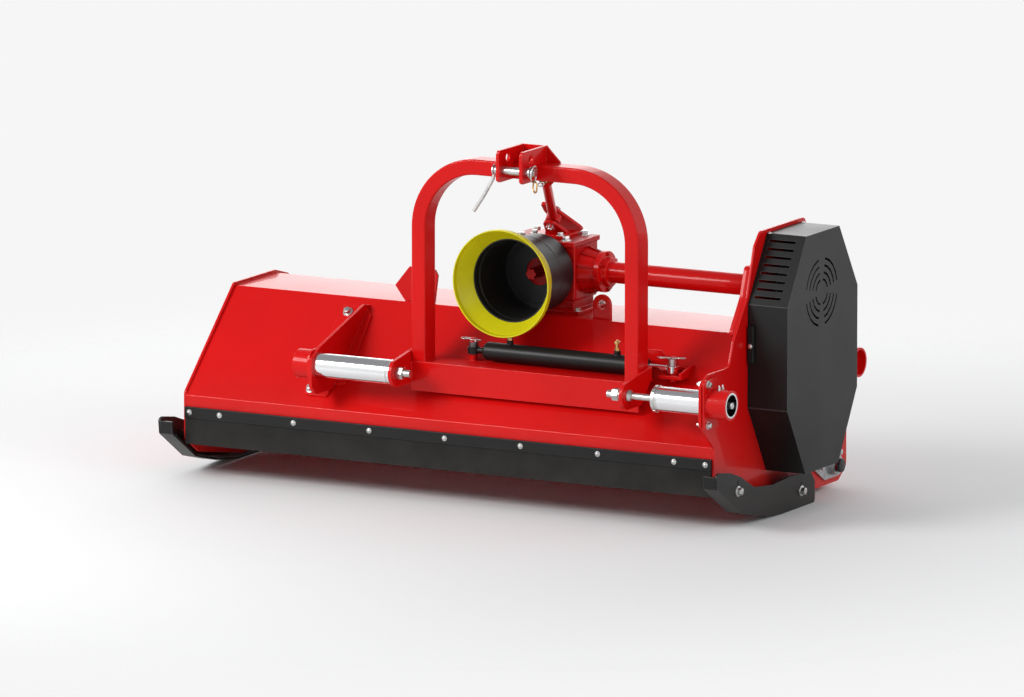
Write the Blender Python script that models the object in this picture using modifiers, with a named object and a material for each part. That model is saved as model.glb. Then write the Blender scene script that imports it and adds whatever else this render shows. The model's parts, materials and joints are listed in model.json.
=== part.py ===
"""A side-shift flail mulcher for a tractor's three-point linkage.

Metres, +Z up, standing on z = 0. Pieces are placed in the machine's own coordinates: x from the middle of
the hood towards the belt drive, y from the front face of the hood towards the rear, z up from the ground.
One root empty then carries them all, so that the world origin lies under the middle of the whole machine.
"""

import math

import bmesh
import bpy
import numpy as np
from mathutils import Matrix, Vector

# Clearances
GAP = 0.0003
RUNNING = 0.0008

# Hood: a folded sheet between two end plates
HOOD_HALF = 0.950
END_PLATE = 0.008
SHEET = 0.006
FLANGE_BOTTOM_Z = 0.195
FOLD_Z = 0.266
HOOD_TOP_Z = 0.570
HOOD_TOP_FRONT_Y = 0.320
HOOD_TOP_REAR_Y = 0.580
HOOD_REAR_Y = 0.735
HOOD_REAR_Z = 0.462
PLATE_RIM = 0.010
PLATE_BOTTOM_Z = 0.020
PLATE_NOSE_Z = 0.125
PLATE_REAR_Y = 0.905

# Front flap
FLAP_THICKNESS = 0.006
FLAP_TOP_Z = 0.230
FLAP_BOTTOM_Z = 0.110
STRIP_HEIGHT = 0.034
STRIP_THICKNESS = 0.004
FLAP_HALF = HOOD_HALF - END_PLATE

# Skids
SKID_THICKNESS = 0.008
SKID_FACE_X = HOOD_HALF + 0.050
SKID_NOSE_Y = -0.072
SKID_BOLTS = ((0.065, 0.124), (0.496, 0.052))

# Flail rotor
ROTOR_Y = 0.455
ROTOR_Z = 0.300
ROTOR_TUBE_RADIUS = 0.084
ROTOR_HALF = HOOD_HALF - 0.050
ROTOR_SHAFT_RADIUS = 0.025
LUG_THICKNESS = 0.012
LUG_GAP = 0.034
FLAIL_PIN_RADIUS = 0.008
FLAIL_PIN_CIRCLE = 0.124
FLAIL_REACH = 0.105
FLAIL_WIDTH = 0.074
FLAIL_ROWS = 4
FLAILS_PER_ROW = 3
FLAIL_PITCH = 0.520

# Belt drive
DRIVE_Y = 0.455
DRIVE_Z = 0.700
DRIVE_PULLEY_RADIUS = 0.120
ROTOR_PULLEY_RADIUS = 0.080
DRIVE_SHAFT_RADIUS = 0.0175
BELTS = 3
BELT_PITCH = 0.019
BELT_WIDTH = 0.012
BELT_DEPTH = 0.010
BELT_BACK = 0.003
PULLEY_X = HOOD_HALF + 0.038
GUARD_WALL = 0.003
GUARD_INNER_X = HOOD_HALF + GAP
GUARD_OUTER_X = HOOD_HALF + 0.140
GUARD_FRONT_Y = 0.222
GUARD_REAR_Y = 0.702
GUARD_BOTTOM_Z = 0.138
GUARD_TOP_Z = 0.892
GUARD_FLAT = 0.226
GUARD_UPPER_Z = 0.685
GUARD_LOWER_Z = 0.360
VENT_SLOTS = 8
VENT_RINGS = 4

# Gearbox and its shafts
GEARBOX_X = 0.140
GEARBOX_HALF_X = 0.120
GEARBOX_FRONT_Y = 0.372
GEARBOX_REAR_Y = 0.530
GEARBOX_BOTTOM_Z = 0.608
GEARBOX_TOP_Z = 0.800
CROSS_TUBE_RADIUS = 0.034
CROSS_TUBE_WALL = 0.005
PTO_SHAFT_RADIUS = 0.0175
PTO_TIP_Y = 0.300
SHIELD_RIM_Y = 0.100
SHIELD_JOINT_Y = 0.176
SHIELD_BACK_Y = 0.362
SHIELD_RIM_RADIUS = 0.171
SHIELD_JOINT_RADIUS = 0.137
SHIELD_BACK_RADIUS = 0.122
SHIELD_WALL = 0.004

# Side-shift carriage with its arch
CARRIAGE_X = 0.250
SHIFT_LEFT = 0.240
SHIFT_RIGHT = 0.050
ARCH_HALF = 0.404
ARCH_TUBE_X = 0.050
ARCH_TUBE_Y = 0.070
ARCH_FRONT_Y = 0.053
ARCH_TOP_Z = 1.097
ARCH_CORNER = 0.230
BEAM_BOTTOM_Z = 0.343
BEAM_TOP_Z = 0.437
BEAM_WALL = 0.010
BEAM_REAR_Y = 0.158
EAR_THICKNESS = 0.012
EAR_RADIUS = 0.045
EAR_TOP_Z = 0.482

# Guide tubes, on one line
GUIDE_Y = -0.034
GUIDE_Z = 0.413
GUIDE_RADIUS = 0.040
GUIDE_WALL = 0.006
BUSH_RADIUS = 0.0475
STUD_RADIUS = 0.012
STUD_REACH = 0.046
GUIDE_ROD_RADIUS = 0.011
LEFT_SUPPORT_X = -0.441
SUPPORT_THICKNESS = 0.010
BUSH_LENGTH = 0.078
RIGHT_TUBE_X = HOOD_HALF - 0.188
FLANGE_THICKNESS = 0.008

# Hydraulic cylinder of the side shift
CYLINDER_Y = 0.158
CYLINDER_Z = 0.470
BARREL_RADIUS = 0.030
BARREL_BORE = 0.025
BARREL_LEFT_X = 0.055
BARREL_RIGHT_X = 0.628
GLAND_LENGTH = 0.030
PISTON_ROD_RADIUS = 0.011
BASE_PIN_X = 0.013
ROD_PIN_X = 0.722
EYE_RADIUS = 0.020
EYE_HEIGHT = 0.022
CYLINDER_PIN_RADIUS = 0.009

# Mast and stay
MAST_GAP = 0.072
MAST_PLATE = 0.010
MAST_FRONT_Y = -0.048
MAST_TOP_Z = ARCH_TOP_Z + 0.053
TOP_PIN_Y = -0.018
TOP_PIN_Z = ARCH_TOP_Z - 0.012
TOP_PIN_RADIUS = 0.0125
TOP_HOLE_Y = 0.014
TOP_HOLE_Z = ARCH_TOP_Z + 0.025
STAY_LOWER = Vector((0.140, 0.450, 0.856))
STAY_UPPER_Y = 0.190
STAY_UPPER_Z = ARCH_TOP_Z - 0.057
STAY_RADIUS = 0.015
STAY_PIN_RADIUS = 0.008
STAY_PLATE = 0.012
STUD_PLATE_ABOVE = 0.009

# Rear roller, rear door
ROLLER_Y = 0.800
ROLLER_Z = 0.080
ROLLER_RADIUS = 0.0797
ROLLER_HALF = HOOD_HALF - 0.050
ROLLER_WALL = 0.006
ROLLER_SHAFT_RADIUS = 0.0175
DOOR_HINGE_Y = 0.758
DOOR_HINGE_Z = 0.462
DOOR_KNUCKLE_RADIUS = 0.012
DOOR_ROD_RADIUS = 0.006
DOOR_DEPTH = 0.265
DOOR_LEAN = math.radians(14)
REAR_BUSH_Y = 0.843
REAR_BUSH_Z = 0.408

# The world origin lies under the middle of the machine's box
ROOT_X = -0.0450
ROOT_Y = -0.4065


def clear_scene():
    for obj in list(bpy.data.objects):
        bpy.data.objects.remove(obj, do_unlink=True)


def new_collection(name):
    collection = bpy.data.collections.new(name)
    bpy.context.scene.collection.children.link(collection)
    return collection


def new_material(name, colour, roughness, metallic=0.0):
    material = bpy.data.materials.new(name)
    material.use_nodes = True
    shader = material.node_tree.nodes["Principled BSDF"]
    shader.inputs["Base Color"].default_value = (*colour, 1.0)
    shader.inputs["Roughness"].default_value = roughness
    shader.inputs["Metallic"].default_value = metallic
    return material


clear_scene()
PARTS = new_collection("mulcher")
RED = new_material("red_paint", (0.62, 0.012, 0.012), 0.28)
BLACK = new_material("black_paint", (0.022, 0.023, 0.024), 0.42)
RUBBER = new_material("black_rubber", (0.020, 0.020, 0.021), 0.75)
YELLOW = new_material("yellow_plastic", (0.62, 0.60, 0.02), 0.40)
CHROME = new_material("chrome", (0.80, 0.80, 0.80), 0.12, 1.0)
ZINC = new_material("zinc_plate", (0.62, 0.63, 0.64), 0.32, 1.0)
STEEL = new_material("dark_steel", (0.20, 0.20, 0.21), 0.40, 1.0)


def new_body(name, place=(0.0, 0.0, 0.0), parent=None):
    """An empty on a moving body's joint axis, in machine coordinates."""
    empty = bpy.data.objects.new(name, None)
    empty.empty_display_size = 0.05
    PARTS.objects.link(empty)
    empty["place"] = place
    offset = Vector(place)
    if parent is not None:
        empty.parent = parent
        offset = offset - Vector(parent["place"])
    empty.location = offset
    return empty


ROOT = new_body("machine")
ROOT.location = (ROOT_X, ROOT_Y, 0.0)
CARRIAGE = new_body("carriage_slide", (CARRIAGE_X, GUIDE_Y, GUIDE_Z), ROOT)
STAY = new_body("stay_pivot", tuple(STAY_LOWER), ROOT)
ROTOR = new_body("rotor_axis", (0.0, ROTOR_Y, ROTOR_Z), ROOT)
DRIVE = new_body("drive_axis", (0.0, DRIVE_Y, DRIVE_Z), ROOT)
PTO = new_body("input_axis", (GEARBOX_X, 0.0, DRIVE_Z), ROOT)
ROLLER = new_body("roller_axis", (0.0, ROLLER_Y, ROLLER_Z), ROOT)
DOOR = new_body("door_axis", (0.0, DOOR_HINGE_Y, DOOR_HINGE_Z), ROOT)

ALONG = {
    "Z": Matrix.Identity(4),
    "X": Matrix(((0, 0, 1, 0), (1, 0, 0, 0), (0, 1, 0, 0), (0, 0, 0, 1))),
    "Y": Matrix(((0, 1, 0, 0), (0, 0, 1, 0), (1, 0, 0, 0), (0, 0, 0, 1))),
    "-Y": Matrix(((1, 0, 0, 0), (0, 0, -1, 0), (0, 1, 0, 0), (0, 0, 0, 1))),
}


def loose(name, mesh):
    """An object in machine coordinates, not yet part of a body."""
    obj = bpy.data.objects.new(name, mesh)
    PARTS.objects.link(obj)
    return obj


def mesh_from(name, bm):
    mesh = bpy.data.meshes.new(name)
    bm.to_mesh(mesh)
    bm.free()
    return mesh


def evaluated_mesh(obj):
    bpy.context.view_layer.update()
    graph = bpy.context.evaluated_depsgraph_get()
    mesh = bpy.data.meshes.new_from_object(obj.evaluated_get(graph))
    mesh.transform(obj.matrix_world)
    return mesh


def welded(mesh, outward=True):
    bm = bmesh.new()
    bm.from_mesh(mesh)
    bmesh.ops.remove_doubles(bm, verts=bm.verts, dist=1e-5)
    if outward:
        bmesh.ops.recalc_face_normals(bm, faces=bm.faces)
    bm.to_mesh(mesh)
    bm.free()
    return mesh


def finish(obj, material, body, smooth=True):
    """Gives a loose object its material and its body, with its mesh counted from the body's axis."""
    obj.data.materials.clear()
    obj.data.materials.append(material)
    obj.data.transform(Matrix.Translation(-Vector(body["place"])))
    obj.parent = body
    if smooth:
        obj.data.shade_smooth()
        obj.data.set_sharp_from_angle(angle=math.radians(35))
    return obj


def box(name, low, high):
    bm = bmesh.new()
    bmesh.ops.create_cube(bm, size=1.0)
    low, high = Vector(low), Vector(high)
    bmesh.ops.scale(bm, verts=bm.verts, vec=high - low)
    bmesh.ops.translate(bm, verts=bm.verts, vec=(low + high) / 2)
    return loose(name, mesh_from(name, bm))


def rounded(obj, width, segments=2):
    """Rounds an object's edges at once, so that later cuts keep their own sharp edges."""
    bevel = obj.modifiers.new("rounding", "BEVEL")
    bevel.width = width
    bevel.segments = segments
    bevel.limit_method = "ANGLE"
    bevel.angle_limit = math.radians(40)
    mesh = evaluated_mesh(obj)
    obj.modifiers.clear()
    obj.data = mesh
    return obj


def arc(centre, radius, start, end, steps):
    """Points of an arc in degrees, both ends included."""
    angles = np.radians(np.linspace(start, end, steps + 1))
    return [(centre[0] + radius * math.cos(a), centre[1] + radius * math.sin(a)) for a in angles]


def circle(centre, radius, steps=24):
    return arc(centre, radius, 0, 360, steps)[:-1]


def filleted(points, radius, steps=3):
    """A closed outline with each corner replaced by an arc, limited to under half of the shorter side."""
    result = []
    count = len(points)
    for i, corner in enumerate(points):
        here = Vector(corner)
        back = Vector(points[i - 1]) - here
        ahead = Vector(points[(i + 1) % count]) - here
        turn = math.pi - back.angle(ahead)
        if turn < math.radians(4):
            result.append(corner)
            continue
        reach = min(radius * math.tan(turn / 2), 0.45 * back.length, 0.45 * ahead.length)
        start, end = here + back.normalized() * reach, here + ahead.normalized() * reach
        for k in range(steps + 1):
            t = k / steps
            point = start.lerp(here, t).lerp(here.lerp(end, t), t)
            result.append((point.x, point.y))
    return result


def add_loop(curve, loop):
    spline = curve.splines.new("POLY")
    spline.points.add(len(loop) - 1)
    for point, (x, y) in zip(spline.points, loop):
        point.co = (x, y, 0.0, 1.0)
    spline.use_cyclic_u = True


def flat(name, outline, thickness, normal, at, holes=()):
    """A plate cut to an outline. Its mid-plane passes at this distance along the normal."""
    curve = bpy.data.curves.new(name, "CURVE")
    curve.dimensions = "2D"
    curve.fill_mode = "BOTH"
    curve.extrude = thickness / 2
    for loop in (outline, *holes):
        add_loop(curve, loop)
    drawn = loose(name, curve)
    mesh = evaluated_mesh(drawn)
    bpy.data.objects.remove(drawn)
    mesh.transform(Matrix.Translation((0.0, 0.0, -at if normal == "-Y" else at)))
    mesh.transform(ALONG[normal])
    return loose(name, welded(mesh))


def turned(name, profile, axis, centre, steps=24, closed=False):
    """A profile of (radius, height) points turned about an axis through a point."""
    mesh = bpy.data.meshes.new(name)
    count = len(profile)
    edges = [(i, i + 1) for i in range(count - 1)] + ([(count - 1, 0)] if closed else [])
    mesh.from_pydata([(r, 0.0, h) for r, h in profile], edges, [])
    drawn = loose(name, mesh)
    screw = drawn.modifiers.new("turning", "SCREW")
    screw.steps = screw.render_steps = steps
    screw.use_merge_vertices = True
    screw.merge_threshold = 1e-5
    shape = evaluated_mesh(drawn)
    bpy.data.objects.remove(drawn)
    shape.transform(ALONG[axis])
    shape.transform(Matrix.Translation(centre))
    return loose(name, welded(shape))


def bar(name, radius, axis, start, end, across, steps=20):
    """A solid round bar along an axis, between two places on it. The other two coordinates are across."""
    profile = [(0.0, end), (radius, end), (radius, start), (0.0, start)]
    return turned(name, profile, axis, placed_on(axis, across), steps)


def pipe(name, outer, inner, axis, start, end, across, steps=28):
    profile = [(inner, end), (outer, end), (outer, start), (inner, start)]
    return turned(name, profile, axis, placed_on(axis, across), steps, closed=True)


def placed_on(axis, across):
    """The point at zero along an axis, from its two other coordinates in x, y, z order."""
    a, b = across
    return {"X": (0.0, a, b), "Y": (a, 0.0, b), "Z": (a, b, 0.0)}[axis]


def rod_along(name, points, radius, resolution=2):
    curve = bpy.data.curves.new(name, "CURVE")
    curve.dimensions = "3D"
    curve.bevel_depth = radius
    curve.bevel_resolution = resolution
    curve.use_fill_caps = True
    spline = curve.splines.new("POLY")
    spline.points.add(len(points) - 1)
    for point, co in zip(spline.points, points):
        point.co = (*co, 1.0)
    drawn = loose(name, curve)
    mesh = evaluated_mesh(drawn)
    bpy.data.objects.remove(drawn)
    return loose(name, welded(mesh))


def combined(target, tools, operation):
    for tool in tools:
        change = target.modifiers.new("change", "BOOLEAN")
        change.operation = operation
        change.solver = "EXACT"
        change.object = tool
        mesh = evaluated_mesh(target)
        target.modifiers.clear()
        target.data = mesh
        bpy.data.objects.remove(tool)
    return target


def joined(target, *tools):
    return combined(target, tools, "UNION")


def cut(target, *tools):
    return combined(target, tools, "DIFFERENCE")


def panel_y(z):
    """The front panel's outer face at a height."""
    return HOOD_TOP_FRONT_Y * (z - FOLD_Z) / (HOOD_TOP_Z - FOLD_Z)


def extruded_strip(name, profile, x_low, x_high, thickness):
    """An open sheet along x, from its outer face's profile of (y, z), thickened inwards."""
    bm = bmesh.new()
    verts = [bm.verts.new((x_low, y, z)) for y, z in profile]
    edges = [bm.edges.new(pair) for pair in zip(verts, verts[1:])]
    grown = bmesh.ops.extrude_edge_only(bm, edges=edges)
    moved = [item for item in grown["geom"] if isinstance(item, bmesh.types.BMVert)]
    bmesh.ops.translate(bm, verts=moved, vec=(x_high - x_low, 0.0, 0.0))
    bmesh.ops.recalc_face_normals(bm, faces=bm.faces)
    drawn = loose(name, mesh_from(name, bm))
    solid = drawn.modifiers.new("thickness", "SOLIDIFY")
    solid.thickness = thickness
    solid.offset = -1.0
    solid.use_even_offset = True
    mesh = evaluated_mesh(drawn)
    drawn.modifiers.clear()
    drawn.data = welded(mesh)
    return drawn


def make_hood():
    profile = [
        (HOOD_REAR_Y, HOOD_REAR_Z),
        (0.700, 0.512),
        (0.650, 0.548),
        (HOOD_TOP_REAR_Y, HOOD_TOP_Z),
        (HOOD_TOP_FRONT_Y, HOOD_TOP_Z),
        (0.0, FOLD_Z),
        (0.0, FLANGE_BOTTOM_Z),
    ]
    reach = HOOD_HALF - END_PLATE - GAP
    hood = extruded_strip("hood", profile, -reach, reach, SHEET)
    finish(hood, RED, ROOT, smooth=False)


def end_plate_outline():
    """The left end plate: it stands a rim's width proud of the hood's sheet."""
    return [
        (0.0, PLATE_NOSE_Z),
        (0.080, 0.070),
        (0.353, PLATE_BOTTOM_Z),
        (0.850, PLATE_BOTTOM_Z),
        (PLATE_REAR_Y, 0.060),
        (PLATE_REAR_Y, 0.430),
        (0.860, 0.470),
        (0.760, 0.500),
        (0.660, 0.558),
        (HOOD_TOP_REAR_Y, HOOD_TOP_Z + PLATE_RIM),
        (HOOD_TOP_FRONT_Y - 0.004, HOOD_TOP_Z + PLATE_RIM),
        (0.0, FOLD_Z + PLATE_RIM),
    ]


def drive_plate_outline():
    """The right end plate reaches up behind the belt guard and forward round the guide bush."""
    return [
        (0.0, PLATE_NOSE_Z),
        (0.080, 0.070),
        (0.353, PLATE_BOTTOM_Z),
        (0.850, PLATE_BOTTOM_Z),
        (PLATE_REAR_Y, 0.060),
        (PLATE_REAR_Y, 0.450),
        (0.860, 0.490),
        (0.760, 0.560),
        (0.720, 0.680),
        (0.610, GUARD_TOP_Z + 0.011),
        (0.310, GUARD_TOP_Z + 0.011),
        (0.270, GUARD_TOP_Z - 0.032),
        (GUARD_FRONT_Y, GUARD_UPPER_Z + 0.021),
        (0.130, 0.583),
        (0.100, 0.505),
        (-0.040, 0.505),
        (-0.092, 0.480),
        (-0.092, 0.350),
        (0.0, FOLD_Z),
    ]


def shaft_holes():
    return [
        circle((ROTOR_Y, ROTOR_Z), ROTOR_SHAFT_RADIUS + 0.008, 20),
        circle((ROLLER_Y, ROLLER_Z), ROLLER_SHAFT_RADIUS + 0.006, 16),
        circle((DOOR_HINGE_Y, DOOR_HINGE_Z), DOOR_ROD_RADIUS + GAP, 12),
    ]


def make_end_plates():
    middle = HOOD_HALF - END_PLATE / 2
    left = flat(
        "end_plate_left", filleted(end_plate_outline(), 0.020), END_PLATE, "X", -middle, shaft_holes()
    )
    finish(left, RED, ROOT)
    drive_holes = [
        circle((DRIVE_Y, DRIVE_Z), CROSS_TUBE_RADIUS + GAP, 24),
        circle((GUIDE_Y, GUIDE_Z), GUIDE_RADIUS + GAP, 24),
        circle((REAR_BUSH_Y, REAR_BUSH_Z), GUIDE_RADIUS, 24),
    ]
    right = flat(
        "end_plate_right",
        filleted(drive_plate_outline(), 0.022),
        END_PLATE,
        "X",
        middle,
        shaft_holes() + drive_holes,
    )
    finish(right, RED, ROOT)


def make_front_flap():
    back = -GAP
    flap = box(
        "front_flap",
        (-FLAP_HALF, back - FLAP_THICKNESS, FLAP_BOTTOM_Z),
        (FLAP_HALF, back, FLAP_TOP_Z),
    )
    finish(flap, RUBBER, ROOT, smooth=False)
    back -= FLAP_THICKNESS + GAP
    strip = box(
        "flap_strip",
        (-FLAP_HALF, back - STRIP_THICKNESS, FLAP_TOP_Z - STRIP_HEIGHT),
        (FLAP_HALF, back, FLAP_TOP_Z),
    )
    finish(strip, BLACK, ROOT, smooth=False)


def make_skid(side):
    """A runner outside the end plate: its face, its sole bent in to the plate, and a spacer at each bolt."""
    face_rim = [
        (0.590, 0.0004),
        (0.590, 0.070),
        (0.560, 0.104),
        (0.412, 0.111),
        (0.300, 0.104),
        (0.176, 0.118),
        (0.085, 0.166),
        (0.017, 0.189),
        (-0.060, 0.202),
        (-0.078, 0.196),
        (SKID_NOSE_Y, 0.150),
        (0.076, 0.0534),
        (0.210, 0.0194),
        (0.353, 0.0004),
    ]
    middle = side * (SKID_FACE_X - SKID_THICKNESS / 2)
    skid = flat("skid", filleted(face_rim, 0.012, 2), SKID_THICKNESS, "X", middle)
    sole_path = [
        (SKID_NOSE_Y - 0.005, 0.190),
        (SKID_NOSE_Y, 0.149),
        (0.076, 0.053),
        (0.210, 0.019),
        (0.353, 0.0),
        (0.585, 0.0),
    ]
    edge = side * (SKID_FACE_X - 0.0005)
    far = side * (HOOD_HALF + GAP)
    sole = extruded_strip("sole", sole_path, min(edge, far), max(edge, far), SKID_THICKNESS)
    spacers = []
    for y, z in SKID_BOLTS:
        ends = sorted((far, side * (SKID_FACE_X - 0.004)))
        spacers.append(bar("spacer", 0.014, "X", ends[0], ends[1], (y, z), 12))
    joined(skid, sole, *spacers)
    skid.name = "skid_right" if side > 0 else "skid_left"
    finish(skid, BLACK, ROOT)


def flail_angle(row, place):
    """The hammers wind round the tube, so that few strike at once."""
    return math.radians(90.0 * row + 30.0 * place)


def make_rotor():
    """The tube with its stub shafts, and a pair of lugs welded on for each hammer."""
    line = (ROTOR_Y, ROTOR_Z)
    right_end = PULLEY_X + (BELTS + 0.6) * BELT_PITCH
    left_end = -HOOD_HALF - 0.030
    profile = [
        (0.0, right_end),
        (ROTOR_SHAFT_RADIUS, right_end),
        (ROTOR_SHAFT_RADIUS, ROTOR_HALF),
        (ROTOR_TUBE_RADIUS, ROTOR_HALF),
        (ROTOR_TUBE_RADIUS, -ROTOR_HALF),
        (ROTOR_SHAFT_RADIUS, -ROTOR_HALF),
        (ROTOR_SHAFT_RADIUS, left_end),
        (0.0, left_end),
    ]
    rotor = turned("rotor", profile, "X", placed_on("X", line), 18)
    clevis = make_clevis()
    for row in range(FLAIL_ROWS):
        for place in range(FLAILS_PER_ROW):
            lugs = loose("lugs", clevis.data.copy())
            lugs.data.transform(Matrix.Rotation(flail_angle(row, place), 4, "X"))
            lugs.data.transform(Matrix.Translation((flail_x(row, place), ROTOR_Y, ROTOR_Z)))
            joined(rotor, lugs)
    bpy.data.objects.remove(clevis)
    finish(rotor, RED, ROTOR)


def make_clevis():
    """Two lugs with the pin between them, standing on the rotor's tube along +Y."""
    root, half = ROTOR_TUBE_RADIUS - 0.006, LUG_GAP / 2 + LUG_THICKNESS
    outline = [(root, -0.034), *arc((FLAIL_PIN_CIRCLE, 0.0), 0.020, -90, 90, 4), (root, 0.034)]
    lugs = [flat("lug", outline, LUG_THICKNESS, "X", side * (half - LUG_THICKNESS / 2)) for side in (-1, 1)]
    pin = bar("clevis", FLAIL_PIN_RADIUS, "X", -half - 0.005, half + 0.005, (FLAIL_PIN_CIRCLE, 0.0), 8)
    return joined(pin, *lugs)


def flail_x(row, place):
    first = -FLAIL_PITCH * (FLAILS_PER_ROW - 1) / 2
    return first + FLAIL_PITCH * place + FLAIL_PITCH * (row - (FLAIL_ROWS - 1) / 2) / FLAIL_ROWS


def make_flail(row, place):
    """A hammer: an eye between the lugs that widens to a curved cutting edge."""
    name = f"flail_{row * FLAILS_PER_ROW + place + 1:02d}"
    eye_width = LUG_GAP - 2 * RUNNING
    half = FLAIL_WIDTH / 2
    shank = eye_width / 2
    face = [
        (-0.018, -shank),
        (0.030, -shank),
        (0.062, -half),
        (FLAIL_REACH, -half),
        (FLAIL_REACH, half),
        (0.062, half),
        (0.030, shank),
        (-0.018, shank),
    ]
    hammer = flat(name, face, 0.028, "Z", 0.0)
    side_face = [
        (-0.018, -0.016),
        (0.020, -0.018),
        (0.070, -0.013),
        (FLAIL_REACH + 0.01, 0.006),
        (FLAIL_REACH - 0.004, 0.020),
        (0.060, 0.012),
        (0.020, 0.018),
        (-0.018, 0.016),
    ]
    side = flat("side", side_face, FLAIL_WIDTH * 2, "-Y", 0.0)
    hammer = combined(hammer, [side], "INTERSECT")
    pin_hole = bar("hole", FLAIL_PIN_RADIUS + 2 * RUNNING, "Y", -0.05, 0.05, (0.0, 0.0), 8)
    cut(hammer, pin_hole)
    to_rotor = Matrix(((0, 1, 0, 0), (1, 0, 0, 0), (0, 0, -1, 0), (0, 0, 0, 1)))
    hammer.data.transform(to_rotor)
    hammer.data.transform(Matrix.Translation((0.0, FLAIL_PIN_CIRCLE, 0.0)))
    hammer.data.transform(Matrix.Rotation(flail_angle(row, place), 4, "X"))
    hammer.data.transform(Matrix.Translation((flail_x(row, place), ROTOR_Y, ROTOR_Z)))
    angle = flail_angle(row, place)
    across = Vector((0.0, math.cos(angle), math.sin(angle))) * FLAIL_PIN_CIRCLE
    axis_place = Vector((flail_x(row, place), ROTOR_Y, ROTOR_Z)) + across
    pivot = new_body(name + "_axis", tuple(axis_place), ROTOR)
    finish(hammer, STEEL, pivot)


def make_bearing(name, x, face, line, radius, bore, body_length=0.030):
    """A flanged bearing housing against an end plate's outer face. It points the way that face does."""
    square = radius * 1.35
    corner = [(-square, -square), (square, -square), (square, square), (-square, square)]
    outline = [(line[0] + y, line[1] + z) for y, z in filleted(corner, 0.03, 2)]
    plate_at = x + face * FLANGE_THICKNESS / 2
    hole = circle(line, bore + RUNNING, 16)
    housing = flat(name, outline, FLANGE_THICKNESS, "X", plate_at, [hole])
    start, end = sorted((x + face * (FLANGE_THICKNESS - 0.002), x + face * body_length))
    barrel = pipe("barrel", radius, bore + RUNNING, "X", start, end, line, 16)
    finish(joined(housing, barrel), STEEL, ROOT)


def pulley_profile(radius):
    """Half section of a V-belt pulley with a groove for each belt, from its right face leftwards."""
    bottom = radius - BELT_DEPTH - 0.002
    slack = 0.0008
    half_top, half_bottom = BELT_WIDTH / 2 + slack, BELT_WIDTH * 0.36 + slack
    points = []
    for k in reversed(range(BELTS)):
        middle = PULLEY_X + BELT_PITCH * (k + 0.5)
        points += [
            (radius, middle + half_top),
            (bottom, middle + half_bottom),
            (bottom, middle - half_bottom),
            (radius, middle - half_top),
        ]
    return points


def make_pulley(name, radius, line, shaft_radius, body):
    left, right = PULLEY_X, PULLEY_X + BELTS * BELT_PITCH
    bore = shaft_radius + GAP
    profile = [(bore, right), (radius, right), *pulley_profile(radius), (radius, left), (bore, left)]
    pulley = turned(name, profile, "X", placed_on("X", line), 24, closed=True)
    finish(pulley, STEEL, body)


def belt_loop(radius_drive, radius_rotor, steps=16):
    """The outline of a belt round both pulleys, which stand one above the other."""
    distance = DRIVE_Z - ROTOR_Z
    lean = math.degrees(math.asin((radius_drive - radius_rotor) / distance))
    over = arc((DRIVE_Y, DRIVE_Z), radius_drive, -lean, 180 + lean, steps)
    under = arc((ROTOR_Y, ROTOR_Z), radius_rotor, 180 + lean, 360 - lean, steps)
    return over + under


def make_belts():
    """One banded set: a V-section for each groove on a thin back, drawn round both pulleys."""
    half_top, half_bottom = BELT_WIDTH * 0.36, BELT_WIDTH * 0.27
    ribs = [(-BELT_BACK, BELT_PITCH * (BELTS / 2 - 0.5) + half_top)]
    for k in reversed(range(BELTS)):
        middle = BELT_PITCH * (k - (BELTS - 1) / 2)
        ribs += [
            (0.0, middle + half_top),
            (BELT_DEPTH, middle + half_bottom),
            (BELT_DEPTH, middle - half_bottom),
            (0.0, middle - half_top),
        ]
    ribs.append((-BELT_BACK, -BELT_PITCH * (BELTS / 2 - 0.5) - half_top))
    section = bpy.data.curves.new("section", "CURVE")
    section.dimensions = "2D"
    add_loop(section, ribs)
    drawn_section = loose("section", section)
    path = bpy.data.curves.new("path", "CURVE")
    path.dimensions = "2D"
    path.bevel_mode = "OBJECT"
    path.bevel_object = drawn_section
    add_loop(path, belt_loop(DRIVE_PULLEY_RADIUS + 0.002, ROTOR_PULLEY_RADIUS + 0.002, 10))
    drawn = loose("path", path)
    mesh = evaluated_mesh(drawn)
    bpy.data.objects.remove(drawn)
    bpy.data.objects.remove(drawn_section)
    mesh.transform(Matrix.Translation((0.0, 0.0, PULLEY_X + BELT_PITCH * BELTS / 2)))
    mesh.transform(ALONG["X"])
    finish(loose("drive_belt", welded(mesh)), RUBBER, ROOT)


def guard_outline(inset=0.0):
    middle = (GUARD_FRONT_Y + GUARD_REAR_Y) / 2
    flat_half = GUARD_FLAT / 2
    corners = [
        (middle - flat_half, GUARD_BOTTOM_Z),
        (middle + flat_half, GUARD_BOTTOM_Z),
        (GUARD_REAR_Y, GUARD_LOWER_Z),
        (GUARD_REAR_Y, GUARD_UPPER_Z),
        (middle + flat_half, GUARD_TOP_Z),
        (middle - flat_half, GUARD_TOP_Z),
        (GUARD_FRONT_Y, GUARD_UPPER_Z),
        (GUARD_FRONT_Y, GUARD_LOWER_Z),
    ]
    if not inset:
        return corners
    centre = Vector((middle, (GUARD_BOTTOM_Z + GUARD_TOP_Z) / 2))
    result = []
    for i, corner in enumerate(corners):
        here = Vector(corner)
        before = (here - Vector(corners[i - 1])).normalized()
        after = (Vector(corners[(i + 1) % 8]) - here).normalized()
        normal_a, normal_b = Vector((-before.y, before.x)), Vector((-after.y, after.x))
        bisector = (normal_a + normal_b).normalized()
        step = inset / bisector.dot(normal_a)
        toward = 1.0 if bisector.dot(centre - here) > 0 else -1.0
        moved = here + bisector * step * toward
        result.append((moved.x, moved.y))
    return result


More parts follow.
